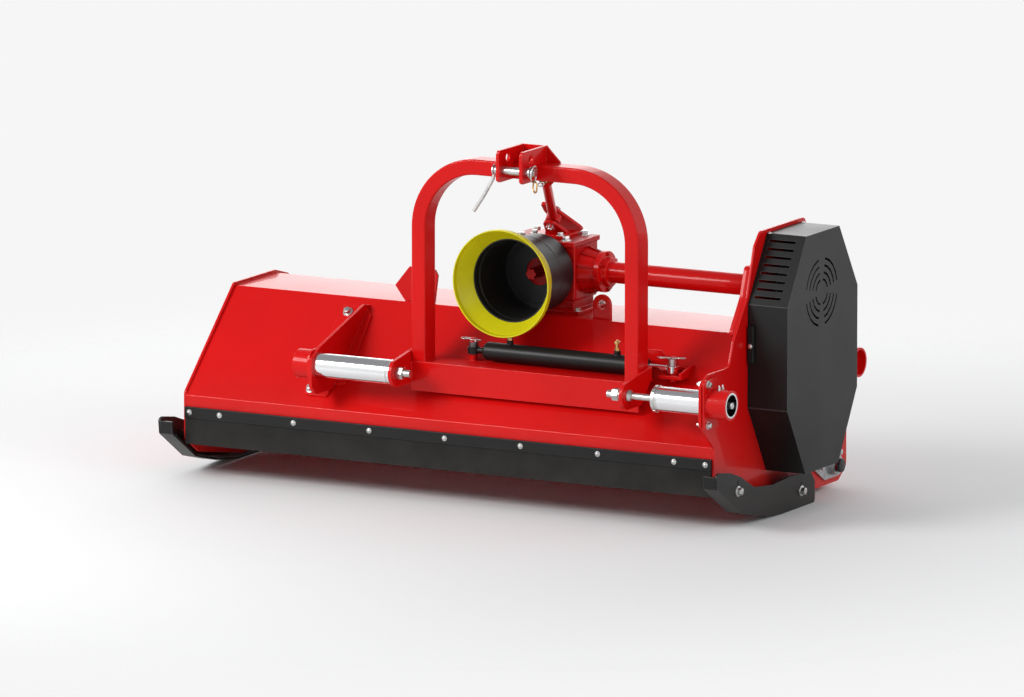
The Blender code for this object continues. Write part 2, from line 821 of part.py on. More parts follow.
def make_belt_guard():
    """A folded black cover with a round grille over the drive pulley and slots on its upper front face."""
    depth = GUARD_OUTER_X - GUARD_INNER_X
    middle = (GUARD_OUTER_X + GUARD_INNER_X) / 2
    guard = flat("belt_guard", guard_outline(), depth, "X", middle)
    hollow = flat("hollow", guard_outline(GUARD_WALL), depth, "X", middle - GUARD_WALL)
    cut(guard, hollow)
    arc_half = 0.0035
    cutters = []
    for ring in range(VENT_RINGS):
        radius = 0.040 + 0.022 * ring
        for quarter in range(4):
            start, end = 90 * quarter + 12, 90 * quarter + 78
            steps = 3 + ring // 2
            outer = arc((DRIVE_Y, DRIVE_Z), radius + arc_half, start, end, steps)
            inner = arc((DRIVE_Y, DRIVE_Z), radius - arc_half, end, start, steps)
            cutters.append(flat("vent", outer + inner, 0.02, "X", GUARD_OUTER_X))
    top = Vector(guard_outline()[5])
    low = Vector(guard_outline()[6])
    slope = low - top
    for k in range(VENT_SLOTS):
        at = top + slope * ((k + 0.9) / (VENT_SLOTS + 0.9))
        across = slope.normalized() * 0.004
        through = Vector((-slope.y, slope.x)).normalized() * 0.010
        corners = [at + across + through, at - across + through, at - across - through, at + across - through]
        outline = [(c.x, c.y) for c in corners]
        cutters.append(flat("slot", outline, depth * 0.66, "X", middle - 0.008))
    cut(guard, *cutters)
    finish(guard, BLACK, ROOT, smooth=False)


def make_cross_drive():
    """The shaft from the gearbox to the drive pulley, and the tube bolted round it."""
    line = (DRIVE_Y, DRIVE_Z)
    gearbox_right = GEARBOX_X + GEARBOX_HALF_X
    hub_start = gearbox_right + GAP
    hub_end = hub_start + 0.085
    inner = CROSS_TUBE_RADIUS - CROSS_TUBE_WALL
    tube_end = HOOD_HALF + 0.006
    profile = [
        (inner, tube_end),
        (CROSS_TUBE_RADIUS, tube_end),
        (CROSS_TUBE_RADIUS, hub_end + 0.006),
        (0.046, hub_end + 0.004),
        (0.048, hub_end - 0.012),
        (0.066, hub_end - 0.014),
        (0.066, hub_end - 0.032),
        (0.058, hub_end - 0.034),
        (0.072, hub_start),
        (inner, hub_start),
    ]
    tube = turned("cross_tube", profile, "X", placed_on("X", line), 28, closed=True)
    finish(tube, RED, ROOT)
    right = PULLEY_X + (BELTS + 0.6) * BELT_PITCH
    shaft = bar("cross_shaft", DRIVE_SHAFT_RADIUS, "X", gearbox_right - 0.040, right, line)
    finish(shaft, STEEL, DRIVE)


def make_gearbox():
    """A cast housing on a foot plate, with a rim at its top cover and bores for both shafts."""
    low_x, high_x = GEARBOX_X - GEARBOX_HALF_X, GEARBOX_X + GEARBOX_HALF_X
    body = box("gearbox", (low_x, GEARBOX_FRONT_Y, GEARBOX_BOTTOM_Z), (high_x, GEARBOX_REAR_Y, GEARBOX_TOP_Z))
    rounded(body, 0.012, 2)
    cover = box(
        "cover",
        (low_x - 0.008, GEARBOX_FRONT_Y - 0.008, GEARBOX_TOP_Z - 0.016),
        (high_x + 0.0001, GEARBOX_REAR_Y + 0.008, GEARBOX_TOP_Z),
    )
    foot = box(
        "foot",
        (low_x - 0.020, GEARBOX_FRONT_Y - 0.012, HOOD_TOP_Z + GAP),
        (high_x + 0.020, GEARBOX_REAR_Y + 0.020, HOOD_TOP_Z + 0.012),
    )
    neck = box(
        "neck",
        (low_x + 0.012, GEARBOX_FRONT_Y + 0.012, HOOD_TOP_Z + 0.010),
        (high_x - 0.012, GEARBOX_REAR_Y - 0.012, GEARBOX_BOTTOM_Z + 0.010),
    )
    cap_line = (GEARBOX_X, DRIVE_Z)
    cap = bar("cap", 0.062, "Y", GEARBOX_FRONT_Y - 0.015, GEARBOX_FRONT_Y + 0.010, cap_line, 20)
    joined(body, cover, foot, neck, cap)
    input_bore = bar("bore", PTO_SHAFT_RADIUS + RUNNING, "Y", 0.20, GEARBOX_FRONT_Y + 0.060, cap_line, 20)
    line = (DRIVE_Y, DRIVE_Z)
    output_bore = bar(
        "bore", DRIVE_SHAFT_RADIUS + RUNNING, "X", high_x - 0.045, high_x + 0.1, line, 20
    )
    cut(body, input_bore, output_bore)
    finish(body, RED, ROOT)


def make_input_shaft():
    """A six-spline stub, plain where it runs in the gearbox."""
    line = (GEARBOX_X, DRIVE_Z)
    plain = bar("pto_shaft", PTO_SHAFT_RADIUS, "Y", PTO_TIP_Y + 0.050, GEARBOX_FRONT_Y + 0.055, line)
    outline = []
    root = PTO_SHAFT_RADIUS - 0.003
    for k in range(6):
        for degrees, radius in ((-15, PTO_SHAFT_RADIUS), (15, PTO_SHAFT_RADIUS), (20, root), (40, root)):
            angle = math.radians(60 * k + degrees)
            outline.append((line[0] + radius * math.cos(angle), line[1] + radius * math.sin(angle)))
    splines = flat("splines", outline, 0.056, "-Y", PTO_TIP_Y + 0.028)
    finish(joined(plain, splines), RED, PTO)


def make_shaft_shield():
    """The black bell round the input shaft, and the yellow cone clipped into its mouth."""
    centre = placed_on("Y", (GEARBOX_X, DRIVE_Z))
    back = SHIELD_BACK_Y - GAP - 0.005
    inner_back = SHIELD_BACK_RADIUS - SHIELD_WALL
    bell = [
        (0.044, back),
        (SHIELD_BACK_RADIUS, back),
        (SHIELD_BACK_RADIUS + 0.003, back - 0.060),
        (SHIELD_JOINT_RADIUS - 0.004, SHIELD_JOINT_Y + 0.020),
        (SHIELD_JOINT_RADIUS - 0.004, SHIELD_JOINT_Y - 0.008),
        (SHIELD_JOINT_RADIUS - 0.008, SHIELD_JOINT_Y - 0.008),
        (SHIELD_JOINT_RADIUS - 0.008, SHIELD_JOINT_Y + 0.020),
        (inner_back, back - 0.060),
        (inner_back, back - SHIELD_WALL),
        (0.044, back - SHIELD_WALL),
    ]
    shield = turned("shield_bell", bell, "Y", centre, 28, closed=True)
    finish(shield, RUBBER, ROOT)
    cone_inner = SHIELD_JOINT_RADIUS - 0.004 + GAP
    cone = [
        (cone_inner, SHIELD_JOINT_Y + 0.012),
        (cone_inner + 0.003, SHIELD_JOINT_Y + 0.012),
        (SHIELD_JOINT_RADIUS + 0.003, SHIELD_JOINT_Y - 0.010),
        (SHIELD_RIM_RADIUS, SHIELD_RIM_Y + 0.020),
        (SHIELD_RIM_RADIUS, SHIELD_RIM_Y),
        (SHIELD_RIM_RADIUS - SHIELD_WALL, SHIELD_RIM_Y),
        (SHIELD_RIM_RADIUS - SHIELD_WALL, SHIELD_RIM_Y + 0.018),
        (SHIELD_JOINT_RADIUS - 0.001, SHIELD_JOINT_Y - 0.012),
        (cone_inner, SHIELD_JOINT_Y - 0.009),
    ]
    rim = turned("shield_rim", cone, "Y", centre, 28, closed=True)
    finish(rim, YELLOW, ROOT)


def make_guide_bushes():
    """Flanged bushes for the guide tubes: one on the drive plate, one on a bracket, one spare at the rear."""
    bore = GUIDE_RADIUS + GAP
    face = HOOD_HALF + GAP
    for name, y, z in (("bush_right", GUIDE_Y, GUIDE_Z), ("bush_rear", REAR_BUSH_Y, REAR_BUSH_Z)):
        half_y, half_z = 0.052, 0.080
        corners = [(y - half_y, z - half_z), (y + half_y, z - half_z), (y + half_y, z + half_z), (y - half_y, z + half_z)]
        hole = circle((y, z), bore, 24)
        flange = flat(name, filleted(corners, 0.020), FLANGE_THICKNESS, "X", face + FLANGE_THICKNESS / 2, [hole])
        barrel = pipe("barrel", BUSH_RADIUS, bore, "X", face + 0.004, face + BUSH_LENGTH, (y, z), 24)
        finish(joined(flange, barrel), RED, ROOT)
    support_left = LEFT_SUPPORT_X - SUPPORT_THICKNESS / 2 - GAP
    half_y, half_z = 0.050, 0.062
    corners = [
        (GUIDE_Y - half_y, GUIDE_Z - half_z),
        (GUIDE_Y + half_y, GUIDE_Z - half_z),
        (GUIDE_Y + half_y, GUIDE_Z + half_z * 0.85),
        (GUIDE_Y - half_y, GUIDE_Z + half_z * 0.85),
    ]
    hole = circle((GUIDE_Y, GUIDE_Z), bore, 24)
    flange = flat(
        "bush_left", filleted(corners, 0.044), FLANGE_THICKNESS, "X", support_left - FLANGE_THICKNESS / 2, [hole]
    )
    barrel = pipe("barrel", BUSH_RADIUS, bore, "X", support_left - 0.062, support_left - 0.004, (GUIDE_Y, GUIDE_Z), 24)
    finish(joined(flange, barrel), RED, ROOT)


def on_panel(x):
    """Maps a drawing's x, y, z to x, up the front panel from its fold, and out of it."""
    up = Vector((0.0, HOOD_TOP_FRONT_Y, HOOD_TOP_Z - FOLD_Z)).normalized()
    columns = (Vector((1.0, 0.0, 0.0)), up, Vector((0.0, -up.z, up.y)))
    matrix = Matrix.Identity(4)
    for k, column in enumerate(columns):
        for row in range(3):
            matrix[row][k] = column[row]
    return Matrix.Translation((x, 0.0, FOLD_Z)) @ matrix


def make_left_support():
    """The gusset that carries the left bush: it stands on the front panel and runs up to the hood's fold."""
    top_z, low_z = 0.552, 0.322
    lift = GAP * 1.5
    outline = [
        (panel_y(low_z) - lift, low_z),
        (panel_y(top_z) - lift, top_z),
        (0.262, 0.560),
        (-0.030, 0.470),
        (-0.086, 0.440),
        (-0.086, 0.352),
        (-0.060, low_z),
    ]
    hole = circle((GUIDE_Y, GUIDE_Z), GUIDE_RADIUS + RUNNING, 24)
    support = flat("guide_support_left", outline, SUPPORT_THICKNESS, "X", LEFT_SUPPORT_X, [hole])
    inner = SUPPORT_THICKNESS / 2 - 0.002
    foot = [(inner, 0.090), (0.042, 0.098), (0.026, 0.372), (inner, 0.392)]
    foot = flat("foot", foot, 0.008, "Z", 0.004 + lift)
    foot.data.transform(on_panel(LEFT_SUPPORT_X))
    bolted = [(-inner, 0.044), (-0.088, 0.044), (-0.088, 0.402), (-inner, 0.402)]
    bolted = flat("bolted", filleted(bolted, 0.012), 0.008, "Z", 0.004 + lift)
    bolted.data.transform(on_panel(LEFT_SUPPORT_X))
    finish(joined(support, foot, bolted), RED, ROOT)


def ear_outline():
    rear = ARCH_FRONT_Y + ARCH_TUBE_Y
    nose = arc((GUIDE_Y, GUIDE_Z), EAR_RADIUS, 120, 270, 10)
    return [*nose, (ARCH_FRONT_Y, GUIDE_Z - EAR_RADIUS), (rear, BEAM_TOP_Z + 0.004), (rear, EAR_TOP_Z)]


def make_carriage():
    """The beam behind the guide line, the arch that stands on it, and the two ears for the lower links."""
    left, right = CARRIAGE_X - ARCH_HALF, CARRIAGE_X + ARCH_HALF
    wall_y, lip_y = ARCH_FRONT_Y + BEAM_WALL, ARCH_FRONT_Y + BEAM_WALL + 0.006
    section = [
        (ARCH_FRONT_Y, BEAM_BOTTOM_Z),
        (lip_y, BEAM_BOTTOM_Z),
        (lip_y, BEAM_BOTTOM_Z + BEAM_WALL),
        (wall_y, BEAM_BOTTOM_Z + BEAM_WALL),
        (wall_y, BEAM_TOP_Z - BEAM_WALL),
        (BEAM_REAR_Y, BEAM_TOP_Z - BEAM_WALL),
        (BEAM_REAR_Y, BEAM_TOP_Z),
        (ARCH_FRONT_Y, BEAM_TOP_Z),
    ]
    beam = flat("carriage_beam", section, right - left, "X", CARRIAGE_X)
    joined(beam, upright_pin("pin", BASE_PIN_X, BEAM_TOP_Z - 0.004))
    finish(beam, RED, CARRIAGE, smooth=False)

    inner_half, inner_corner = ARCH_HALF - ARCH_TUBE_X, ARCH_CORNER - ARCH_TUBE_X
    foot, centre_z = BEAM_TOP_Z + GAP, ARCH_TOP_Z - ARCH_CORNER
    turn = ARCH_HALF - ARCH_CORNER
    outer = [
        (CARRIAGE_X + ARCH_HALF, foot),
        *arc((CARRIAGE_X + turn, centre_z), ARCH_CORNER, 0, 90, 8),
        *arc((CARRIAGE_X - turn, centre_z), ARCH_CORNER, 90, 180, 8),
        (CARRIAGE_X - ARCH_HALF, foot),
    ]
    inner = [
        (CARRIAGE_X - inner_half, foot),
        *arc((CARRIAGE_X - turn, centre_z), inner_corner, 180, 90, 8),
        *arc((CARRIAGE_X + turn, centre_z), inner_corner, 90, 0, 8),
        (CARRIAGE_X + inner_half, foot),
    ]
    middle_y = ARCH_FRONT_Y + ARCH_TUBE_Y / 2
    arch = flat("hitch_arch", outer + inner, ARCH_TUBE_Y, "-Y", middle_y)
    rounded(arch, 0.006, 1)
    finish(arch, RED, CARRIAGE)

    for name, side in (("hitch_ear_left", -1), ("hitch_ear_right", 1)):
        at = CARRIAGE_X + side * (ARCH_HALF + GAP + EAR_THICKNESS / 2)
        hole = circle((GUIDE_Y, GUIDE_Z), STUD_RADIUS + GAP, 16)
        ear = flat(name, ear_outline(), EAR_THICKNESS, "X", at, [hole])
        finish(ear, RED, CARRIAGE)


def hexagon(line, across_flats):
    radius = across_flats / math.sqrt(3)
    return circle(line, radius, 6)


def make_guides():
    """Left: a tube that slides with the carriage. Right: a tube fixed in its bush, and a rod that runs in it."""
    line = (GUIDE_Y, GUIDE_Z)
    ear_left = CARRIAGE_X - ARCH_HALF - GAP - EAR_THICKNESS
    bore = GUIDE_RADIUS - GUIDE_WALL
    end = LEFT_SUPPORT_X - SUPPORT_THICKNESS / 2 - 0.062
    plug = ear_left - 0.020
    profile = [
        (STUD_RADIUS + GAP, ear_left - GAP),
        (GUIDE_RADIUS, ear_left - GAP),
        (GUIDE_RADIUS, end),
        (bore, end),
        (bore, plug),
        (STUD_RADIUS + GAP, plug),
    ]
    tube = turned("guide_tube_left", profile, "X", placed_on("X", line), 24, closed=True)
    finish(tube, CHROME, CARRIAGE)
    nut_from = CARRIAGE_X - ARCH_HALF + GAP
    stud = bar("stud_left", STUD_RADIUS, "X", plug - 0.010, nut_from + STUD_REACH, line, 16)
    nut = flat("nut", hexagon(line, 0.036), 0.022, "X", nut_from + 0.011)
    finish(joined(stud, nut), ZINC, CARRIAGE)

    tube_end = HOOD_HALF + GAP + BUSH_LENGTH
    profile = [
        (bore, tube_end),
        (GUIDE_RADIUS, tube_end),
        (GUIDE_RADIUS, RIGHT_TUBE_X),
        (GUIDE_ROD_RADIUS + RUNNING, RIGHT_TUBE_X),
        (GUIDE_ROD_RADIUS + RUNNING, RIGHT_TUBE_X + 0.014),
        (bore, RIGHT_TUBE_X + 0.014),
    ]
    tube = turned("guide_tube_right", profile, "X", placed_on("X", line), 24, closed=True)
    finish(tube, CHROME, ROOT)
    ear_right = CARRIAGE_X + ARCH_HALF + GAP + EAR_THICKNESS
    collar = ear_right + GAP
    nut_to = CARRIAGE_X + ARCH_HALF - GAP
    rod_end = RIGHT_TUBE_X + SHIFT_LEFT + 0.030
    profile = [
        (0.0, rod_end),
        (GUIDE_ROD_RADIUS - 0.002, rod_end),
        (GUIDE_ROD_RADIUS, rod_end - 0.002),
        (GUIDE_ROD_RADIUS, collar + 0.012),
        (0.0155, collar + 0.012),
        (0.019, collar + 0.004),
        (0.019, collar),
        (STUD_RADIUS, collar),
        (STUD_RADIUS, nut_to - STUD_REACH - 0.014),
        (0.0, nut_to - STUD_REACH - 0.014),
    ]
    rod = turned("guide_rod_right", profile, "X", placed_on("X", line), 20)
    nut = flat("nut", hexagon(line, 0.036), 0.022, "X", nut_to - 0.029)
    spacer = bar("spacer", 0.016, "X", nut_to - 0.020, nut_to, line, 16)
    finish(joined(rod, nut, spacer), ZINC, CARRIAGE)


def make_cylinder():
    """The barrel moves with the carriage, and the rod is pinned to the hood."""
    line = (CYLINDER_Y, CYLINDER_Z)
    bottom, gland = BARREL_LEFT_X + 0.016, BARREL_RIGHT_X - GLAND_LENGTH
    profile = [
        (0.0, bottom),
        (BARREL_BORE, bottom),
        (BARREL_BORE, gland),
        (PISTON_ROD_RADIUS + RUNNING, gland),
        (PISTON_ROD_RADIUS + RUNNING, BARREL_RIGHT_X),
        (BARREL_RADIUS - 0.003, BARREL_RIGHT_X),
        (BARREL_RADIUS, BARREL_RIGHT_X - 0.004),
        (BARREL_RADIUS, BARREL_LEFT_X + 0.010),
        (BARREL_RADIUS - 0.008, BARREL_LEFT_X),
        (0.0, BARREL_LEFT_X),
    ]
    barrel = turned("cylinder_barrel", profile, "X", placed_on("X", line), 20)
    base = cylinder_eye("base", BASE_PIN_X)
    neck = bar("neck", 0.010, "X", BASE_PIN_X + EYE_RADIUS - 0.006, BARREL_LEFT_X + 0.004, line, 12)
    ports = [
        bar("port", 0.011, "Z", CYLINDER_Z + BARREL_BORE + 0.001, CYLINDER_Z + BARREL_RADIUS + 0.012, (x, CYLINDER_Y), 12)
        for x in (BARREL_LEFT_X + 0.088, BARREL_RIGHT_X - 0.103)
    ]
    finish(joined(barrel, neck, base, *ports), BLACK, CARRIAGE)

    piston_right = BARREL_RIGHT_X - GLAND_LENGTH - SHIFT_LEFT - 0.006
    piston_left = piston_right - 0.022
    profile = [
        (0.0, ROD_PIN_X - EYE_RADIUS + 0.006),
        (PISTON_ROD_RADIUS, ROD_PIN_X - EYE_RADIUS + 0.006),
        (PISTON_ROD_RADIUS, piston_right),
        (BARREL_BORE - RUNNING, piston_right),
        (BARREL_BORE - RUNNING, piston_left),
        (0.0, piston_left),
    ]
    rod = turned("cylinder_rod", profile, "X", placed_on("X", line), 20)
    finish(joined(rod, cylinder_eye("eye", ROD_PIN_X)), CHROME, ROOT)


def cylinder_eye(name, x):
    low, high = CYLINDER_Z - EYE_HEIGHT / 2, CYLINDER_Z + EYE_HEIGHT / 2
    return pipe(name, EYE_RADIUS, CYLINDER_PIN_RADIUS + GAP, "Z", low, high, (x, CYLINDER_Y), 18)


def upright_pin(name, x, foot):
    """A pin with a shoulder under the cylinder's eye and a head over it."""
    top = CYLINDER_Z + 0.040
    eye_low, eye_high = CYLINDER_Z - EYE_HEIGHT / 2 - GAP, CYLINDER_Z + EYE_HEIGHT / 2 + GAP
    profile = [
        (0.0, top),
        (CYLINDER_PIN_RADIUS, top),
        (CYLINDER_PIN_RADIUS, top - 0.010),
        (0.0125, top - 0.012),
        (0.0125, eye_high),
        (CYLINDER_PIN_RADIUS, eye_high),
        (CYLINDER_PIN_RADIUS, eye_low),
        (0.0125, eye_low),
        (0.0125, foot),
        (0.0, foot),
    ]
    return turned(name, profile, "Z", (x, CYLINDER_Y, 0.0), 14)


def make_rod_bracket():
    """The hood's bracket for the cylinder's rod: a shelf on the front panel with one web, and its pin."""
    plate_top = CYLINDER_Z - EYE_HEIGHT / 2 - 0.006
    plate_low = plate_top - 0.010
    low_x, high_x = ROD_PIN_X - 0.036, ROD_PIN_X + 0.040
    bracket = box(
        "rod_bracket",
        (low_x, CYLINDER_Y - 0.030, plate_low),
        (high_x, panel_y(plate_low) - GAP * 1.5, plate_top),
    )
    upper_z = plate_top + 0.025
    web = [
        (panel_y(plate_low) - GAP * 1.5, plate_low),
        (panel_y(upper_z) - GAP * 1.5, upper_z),
        (CYLINDER_Y + 0.040, upper_z),
        (CYLINDER_Y - 0.030, plate_top + 0.010),
        (CYLINDER_Y - 0.030, plate_low),
    ]
    joined(bracket, flat("web", web, 0.008, "X", high_x))
    back = [
        (low_x - 0.106, 0.461),
        (high_x, 0.461),
        (high_x, 0.472),
        (low_x + 0.019, 0.472),
        (low_x - 0.026, 0.518),
        (low_x - 0.106, 0.518),
    ]
    joined(bracket, flat("back", back, 0.008, "-Y", 0.200))
    joined(bracket, upright_pin("pin", ROD_PIN_X, plate_low - 0.012))
    finish(bracket, RED, ROOT, smooth=False)


def stay_plane_z(y, above=0.0):
    """The height of the stay's middle plane at a depth, or of one parallel to it this far above."""
    _, axis = stay_directions()
    return STAY_UPPER_Z + (STAY_UPPER_Y - y) * axis.y / axis.z + above / axis.z


def mast_outline():
    """A cheek that sits over the arch's tube and reaches back along the top of the stay."""
    tube_low, tube_rear = ARCH_TOP_Z - ARCH_TUBE_X, ARCH_FRONT_Y + ARCH_TUBE_Y
    top = ARCH_TOP_Z + GAP
    rear_y = STAY_UPPER_Y + 0.016
    return [
        (MAST_FRONT_Y, 1.056),
        (MAST_FRONT_Y + 0.012, tube_low + 0.002),
        (ARCH_FRONT_Y - GAP, tube_low + 0.002),
        (ARCH_FRONT_Y - GAP, top),
        (tube_rear + 0.004, top),
        (rear_y, stay_plane_z(rear_y, STUD_PLATE_ABOVE + 0.002)),
        (rear_y + 0.004, stay_plane_z(rear_y, STUD_PLATE_ABOVE + 0.018)),
        (tube_rear + 0.006, ARCH_TOP_Z + 0.011),
        (tube_rear + 0.001, MAST_TOP_Z),
        (MAST_FRONT_Y + 0.010, MAST_TOP_Z),
        (MAST_FRONT_Y, MAST_TOP_Z - 0.012),
    ]


def make_mast():
    """Both cheeks joined by a cap plate behind and by the inclined plate that holds the stay's stud."""
    cheek_at = (MAST_GAP + MAST_PLATE) / 2
    holes = [circle((TOP_PIN_Y, TOP_PIN_Z), TOP_PIN_RADIUS + GAP, 18), circle((TOP_HOLE_Y, TOP_HOLE_Z), 0.0135, 18)]
    mast = flat("mast_bracket", mast_outline(), MAST_PLATE, "X", CARRIAGE_X - cheek_at, holes)
    other = flat("cheek", mast_outline(), MAST_PLATE, "X", CARRIAGE_X + cheek_at, holes)
    reach = MAST_GAP / 2 + 0.004
    narrow, wide = MAST_GAP / 2 + MAST_PLATE, MAST_GAP / 2 + MAST_PLATE + 0.049
    low, high = ARCH_TOP_Z + GAP, MAST_TOP_Z
    sheet = [(-wide, low), (wide, low), (wide, low + 0.004), (narrow, high), (-narrow, high), (-wide, low + 0.004)]
    sheet = [(CARRIAGE_X + x, z) for x, z in sheet]
    rear = flat("rear", sheet, 0.008, "-Y", ARCH_FRONT_Y + ARCH_TUBE_Y - 0.006)
    mast = joined(mast, stud_plate(reach), other, rear)
    finish(mast, RED, CARRIAGE)


def stay_directions():
    """In the stay's swing plane: up the stay when it points straight ahead, and the swing axis."""
    along = Vector((0.0, STAY_UPPER_Y - STAY_LOWER.y, STAY_UPPER_Z - STAY_LOWER.z)).normalized()
    axis = Vector((0.0, along.z, -along.y))
    return along, axis


def in_stay_plane(centre):
    """Maps x, y, z of a drawing to x, along the stay, and its swing axis, round a centre."""
    along, axis = stay_directions()
    columns = (Vector((-1.0, 0.0, 0.0)), along, axis)
    matrix = Matrix.Identity(4)
    for k, column in enumerate(columns):
        for row in range(3):
            matrix[row][k] = column[row]
    return Matrix.Translation(centre) @ matrix


def stud_plate(reach):
    """The plate over the stay's end, with the stud that runs in the stay's slot."""
    above = STUD_PLATE_ABOVE
    plate = box("plate", (-reach, -0.018, above), (reach, 0.075, above + 0.009))
    stud = bar("stud", STAY_PIN_RADIUS, "Z", -STAY_PLATE / 2 - 0.012, above + 0.004, (0.0, 0.0), 14)
    washer = bar("washer", 0.022, "Z", -STAY_PLATE / 2 - 0.008, -STAY_PLATE / 2 - 0.003, (0.0, 0.0), 16)
    joined(plate, stud, washer)
    plate.data.transform(in_stay_plane(Vector((CARRIAGE_X, STAY_UPPER_Y, STAY_UPPER_Z))))
    return plate


def make_stay():
    """From the gearbox's bracket to the mast: an eye, a round bar, and a flat end with a slot."""
    along, _ = stay_directions()
    offset = CARRIAGE_X - STAY_LOWER.x
    flat_length = (Vector((0.0, STAY_UPPER_Y, STAY_UPPER_Z)) - Vector((0.0, STAY_LOWER.y, STAY_LOWER.z))).length
    angle = math.atan2(offset, flat_length)
    nearest = flat_length
    farthest = math.hypot(flat_length, max(offset + SHIFT_RIGHT, SHIFT_LEFT - offset))
    half_width = STAY_PIN_RADIUS + 0.010
    slot_low, slot_high = nearest - 0.003, farthest + 0.003
    slot = arc((0.0, slot_high), half_width, 0, 180, 8) + arc((0.0, slot_low), half_width, 180, 360, 8)
    rim = half_width + 0.010
    outline = arc((0.0, slot_high), rim, 0, 180, 8) + [(-rim, slot_low - 0.006), (-0.012, slot_low - 0.045)]
    outline += [(0.012, slot_low - 0.045), (rim, slot_low - 0.006)]
    end = flat("stay", outline, STAY_PLATE, "Z", 0.0, [slot])
    eye = pipe("eye", 0.024, STAY_PIN_RADIUS + 0.001, "Z", -0.012, 0.012, (0.0, 0.0), 20)
    shank = bar("shank", STAY_RADIUS, "Y", 0.020, slot_low - 0.030, (0.0, 0.0), 16)
    joined(end, shank, eye)
    end.data.transform(Matrix.Rotation(angle, 4, "Z"))
    end.data.transform(in_stay_plane(STAY_LOWER))
    finish(end, RED, STAY)


def make_stay_bracket():
    """Two inclined ears on a base plate bolted to the gearbox, and the bolt between them."""
    base_low, base_high = GEARBOX_TOP_Z + GAP, GEARBOX_TOP_Z + 0.010
    x = STAY_LOWER.x
    base = box("stay_bracket", (x - 0.060, 0.400, base_low), (x + 0.060, 0.524, base_high))
    matrix = in_stay_plane(STAY_LOWER)
    drop = STAY_LOWER.z - base_high
    along, axis = stay_directions()
    for side in (-1, 1):
        at = side * (STAY_RADIUS + 0.003 + 0.005)
        lift = drop + at * axis.z
        tail = -(lift + 0.004) / along.z
        outline = [*arc((0.0, 0.0), 0.026, 0, 180, 10), (-0.042, tail), (0.042, tail)]
        if tail > -0.004:
            outline = circle((0.0, 0.0), 0.026, 16)
        if side > 0:
            fin = [(-0.050, tail), (-0.050, tail + 0.024), (-0.004, 0.058), (0.026, 0.058), (0.036, 0.010), (0.036, tail)]
            outline = filleted(fin, 0.010, 3)
        ear = flat("ear", outline, 0.010, "Z", at)
        ear.data.transform(matrix)
        base = joined(base, ear)
    below = box("below", (x - 0.3, 0.2, GEARBOX_TOP_Z - 0.2), (x + 0.3, 0.7, base_low))
    cut(base, below)
    bolt = bar("bolt", STAY_PIN_RADIUS, "Z", -0.040, 0.036, (0.0, 0.0), 14)
    head = flat("head", hexagon((0.0, 0.0), 0.024), 0.012, "Z", 0.032)
    nut = flat("nut", hexagon((0.0, 0.0), 0.024), 0.012, "Z", -0.032)
    joined(bolt, head, nut)
    bolt.data.transform(matrix)
    joined(base, bolt)
    finish(base, RED, ROOT)


def make_top_pin():
    """The top link's pin: its bent handle hangs at the left."""
    half = MAST_GAP / 2 + MAST_PLATE
    left, right = CARRIAGE_X - half - 0.014, CARRIAGE_X + half + 0.034
    pin = bar("top_pin", TOP_PIN_RADIUS, "X", left - 0.010, right, (TOP_PIN_Y, TOP_PIN_Z), 20)
    handle = [
        (left - 0.002, TOP_PIN_Y, TOP_PIN_Z),
        (left - 0.010, TOP_PIN_Y - 0.004, TOP_PIN_Z - 0.030),
        (left - 0.040, TOP_PIN_Y - 0.010, TOP_PIN_Z - 0.085),
        (left - 0.072, TOP_PIN_Y - 0.016, TOP_PIN_Z - 0.135),
    ]
    joined(pin, rod_along("handle", handle, 0.0058))
    finish(pin, ZINC, CARRIAGE)


def make_roller():
    line = (ROLLER_Y, ROLLER_Z)
    inner = ROLLER_RADIUS - ROLLER_WALL
    disc, shaft = 0.010, ROLLER_SHAFT_RADIUS
    end = HOOD_HALF + 0.030
    profile = [
        (0.0, end),
        (shaft, end),
        (shaft, ROLLER_HALF - 0.012),
        (inner, ROLLER_HALF - 0.012),
        (inner, ROLLER_HALF),
        (ROLLER_RADIUS, ROLLER_HALF),
        (ROLLER_RADIUS, -ROLLER_HALF),
        (inner, -ROLLER_HALF),
        (inner, -ROLLER_HALF + 0.012),
        (shaft, -ROLLER_HALF + 0.012),
        (shaft, -end),
        (0.0, -end),
    ]
    roller = turned("rear_roller", profile, "X", placed_on("X", line), 24)
    finish(roller, RED, ROLLER)
    for name, side in (("roller_arm_left", -1), ("roller_arm_right", 1)):
        low_y = 0.655
        outline = [
            (low_y, 0.092),
            (0.740, 0.040),
            (0.842, 0.040),
            (0.852, 0.060),
            (0.852, 0.126),
            (0.700, 0.150),
            (low_y, 0.150),
        ]
        at = side * (HOOD_HALF + GAP + 0.004)
        hole = circle(line, shaft + RUNNING, 16)
        arm = flat(name, filleted(outline, 0.012, 2), 0.008, "X", at, [hole])
        ends = sorted((side * (HOOD_HALF + GAP + 0.006), side * (HOOD_HALF + 0.026)))
        hub = pipe("hub", 0.032, shaft + RUNNING, "X", ends[0], ends[1], line, 16)
        finish(joined(arm, hub), ZINC, ROOT)


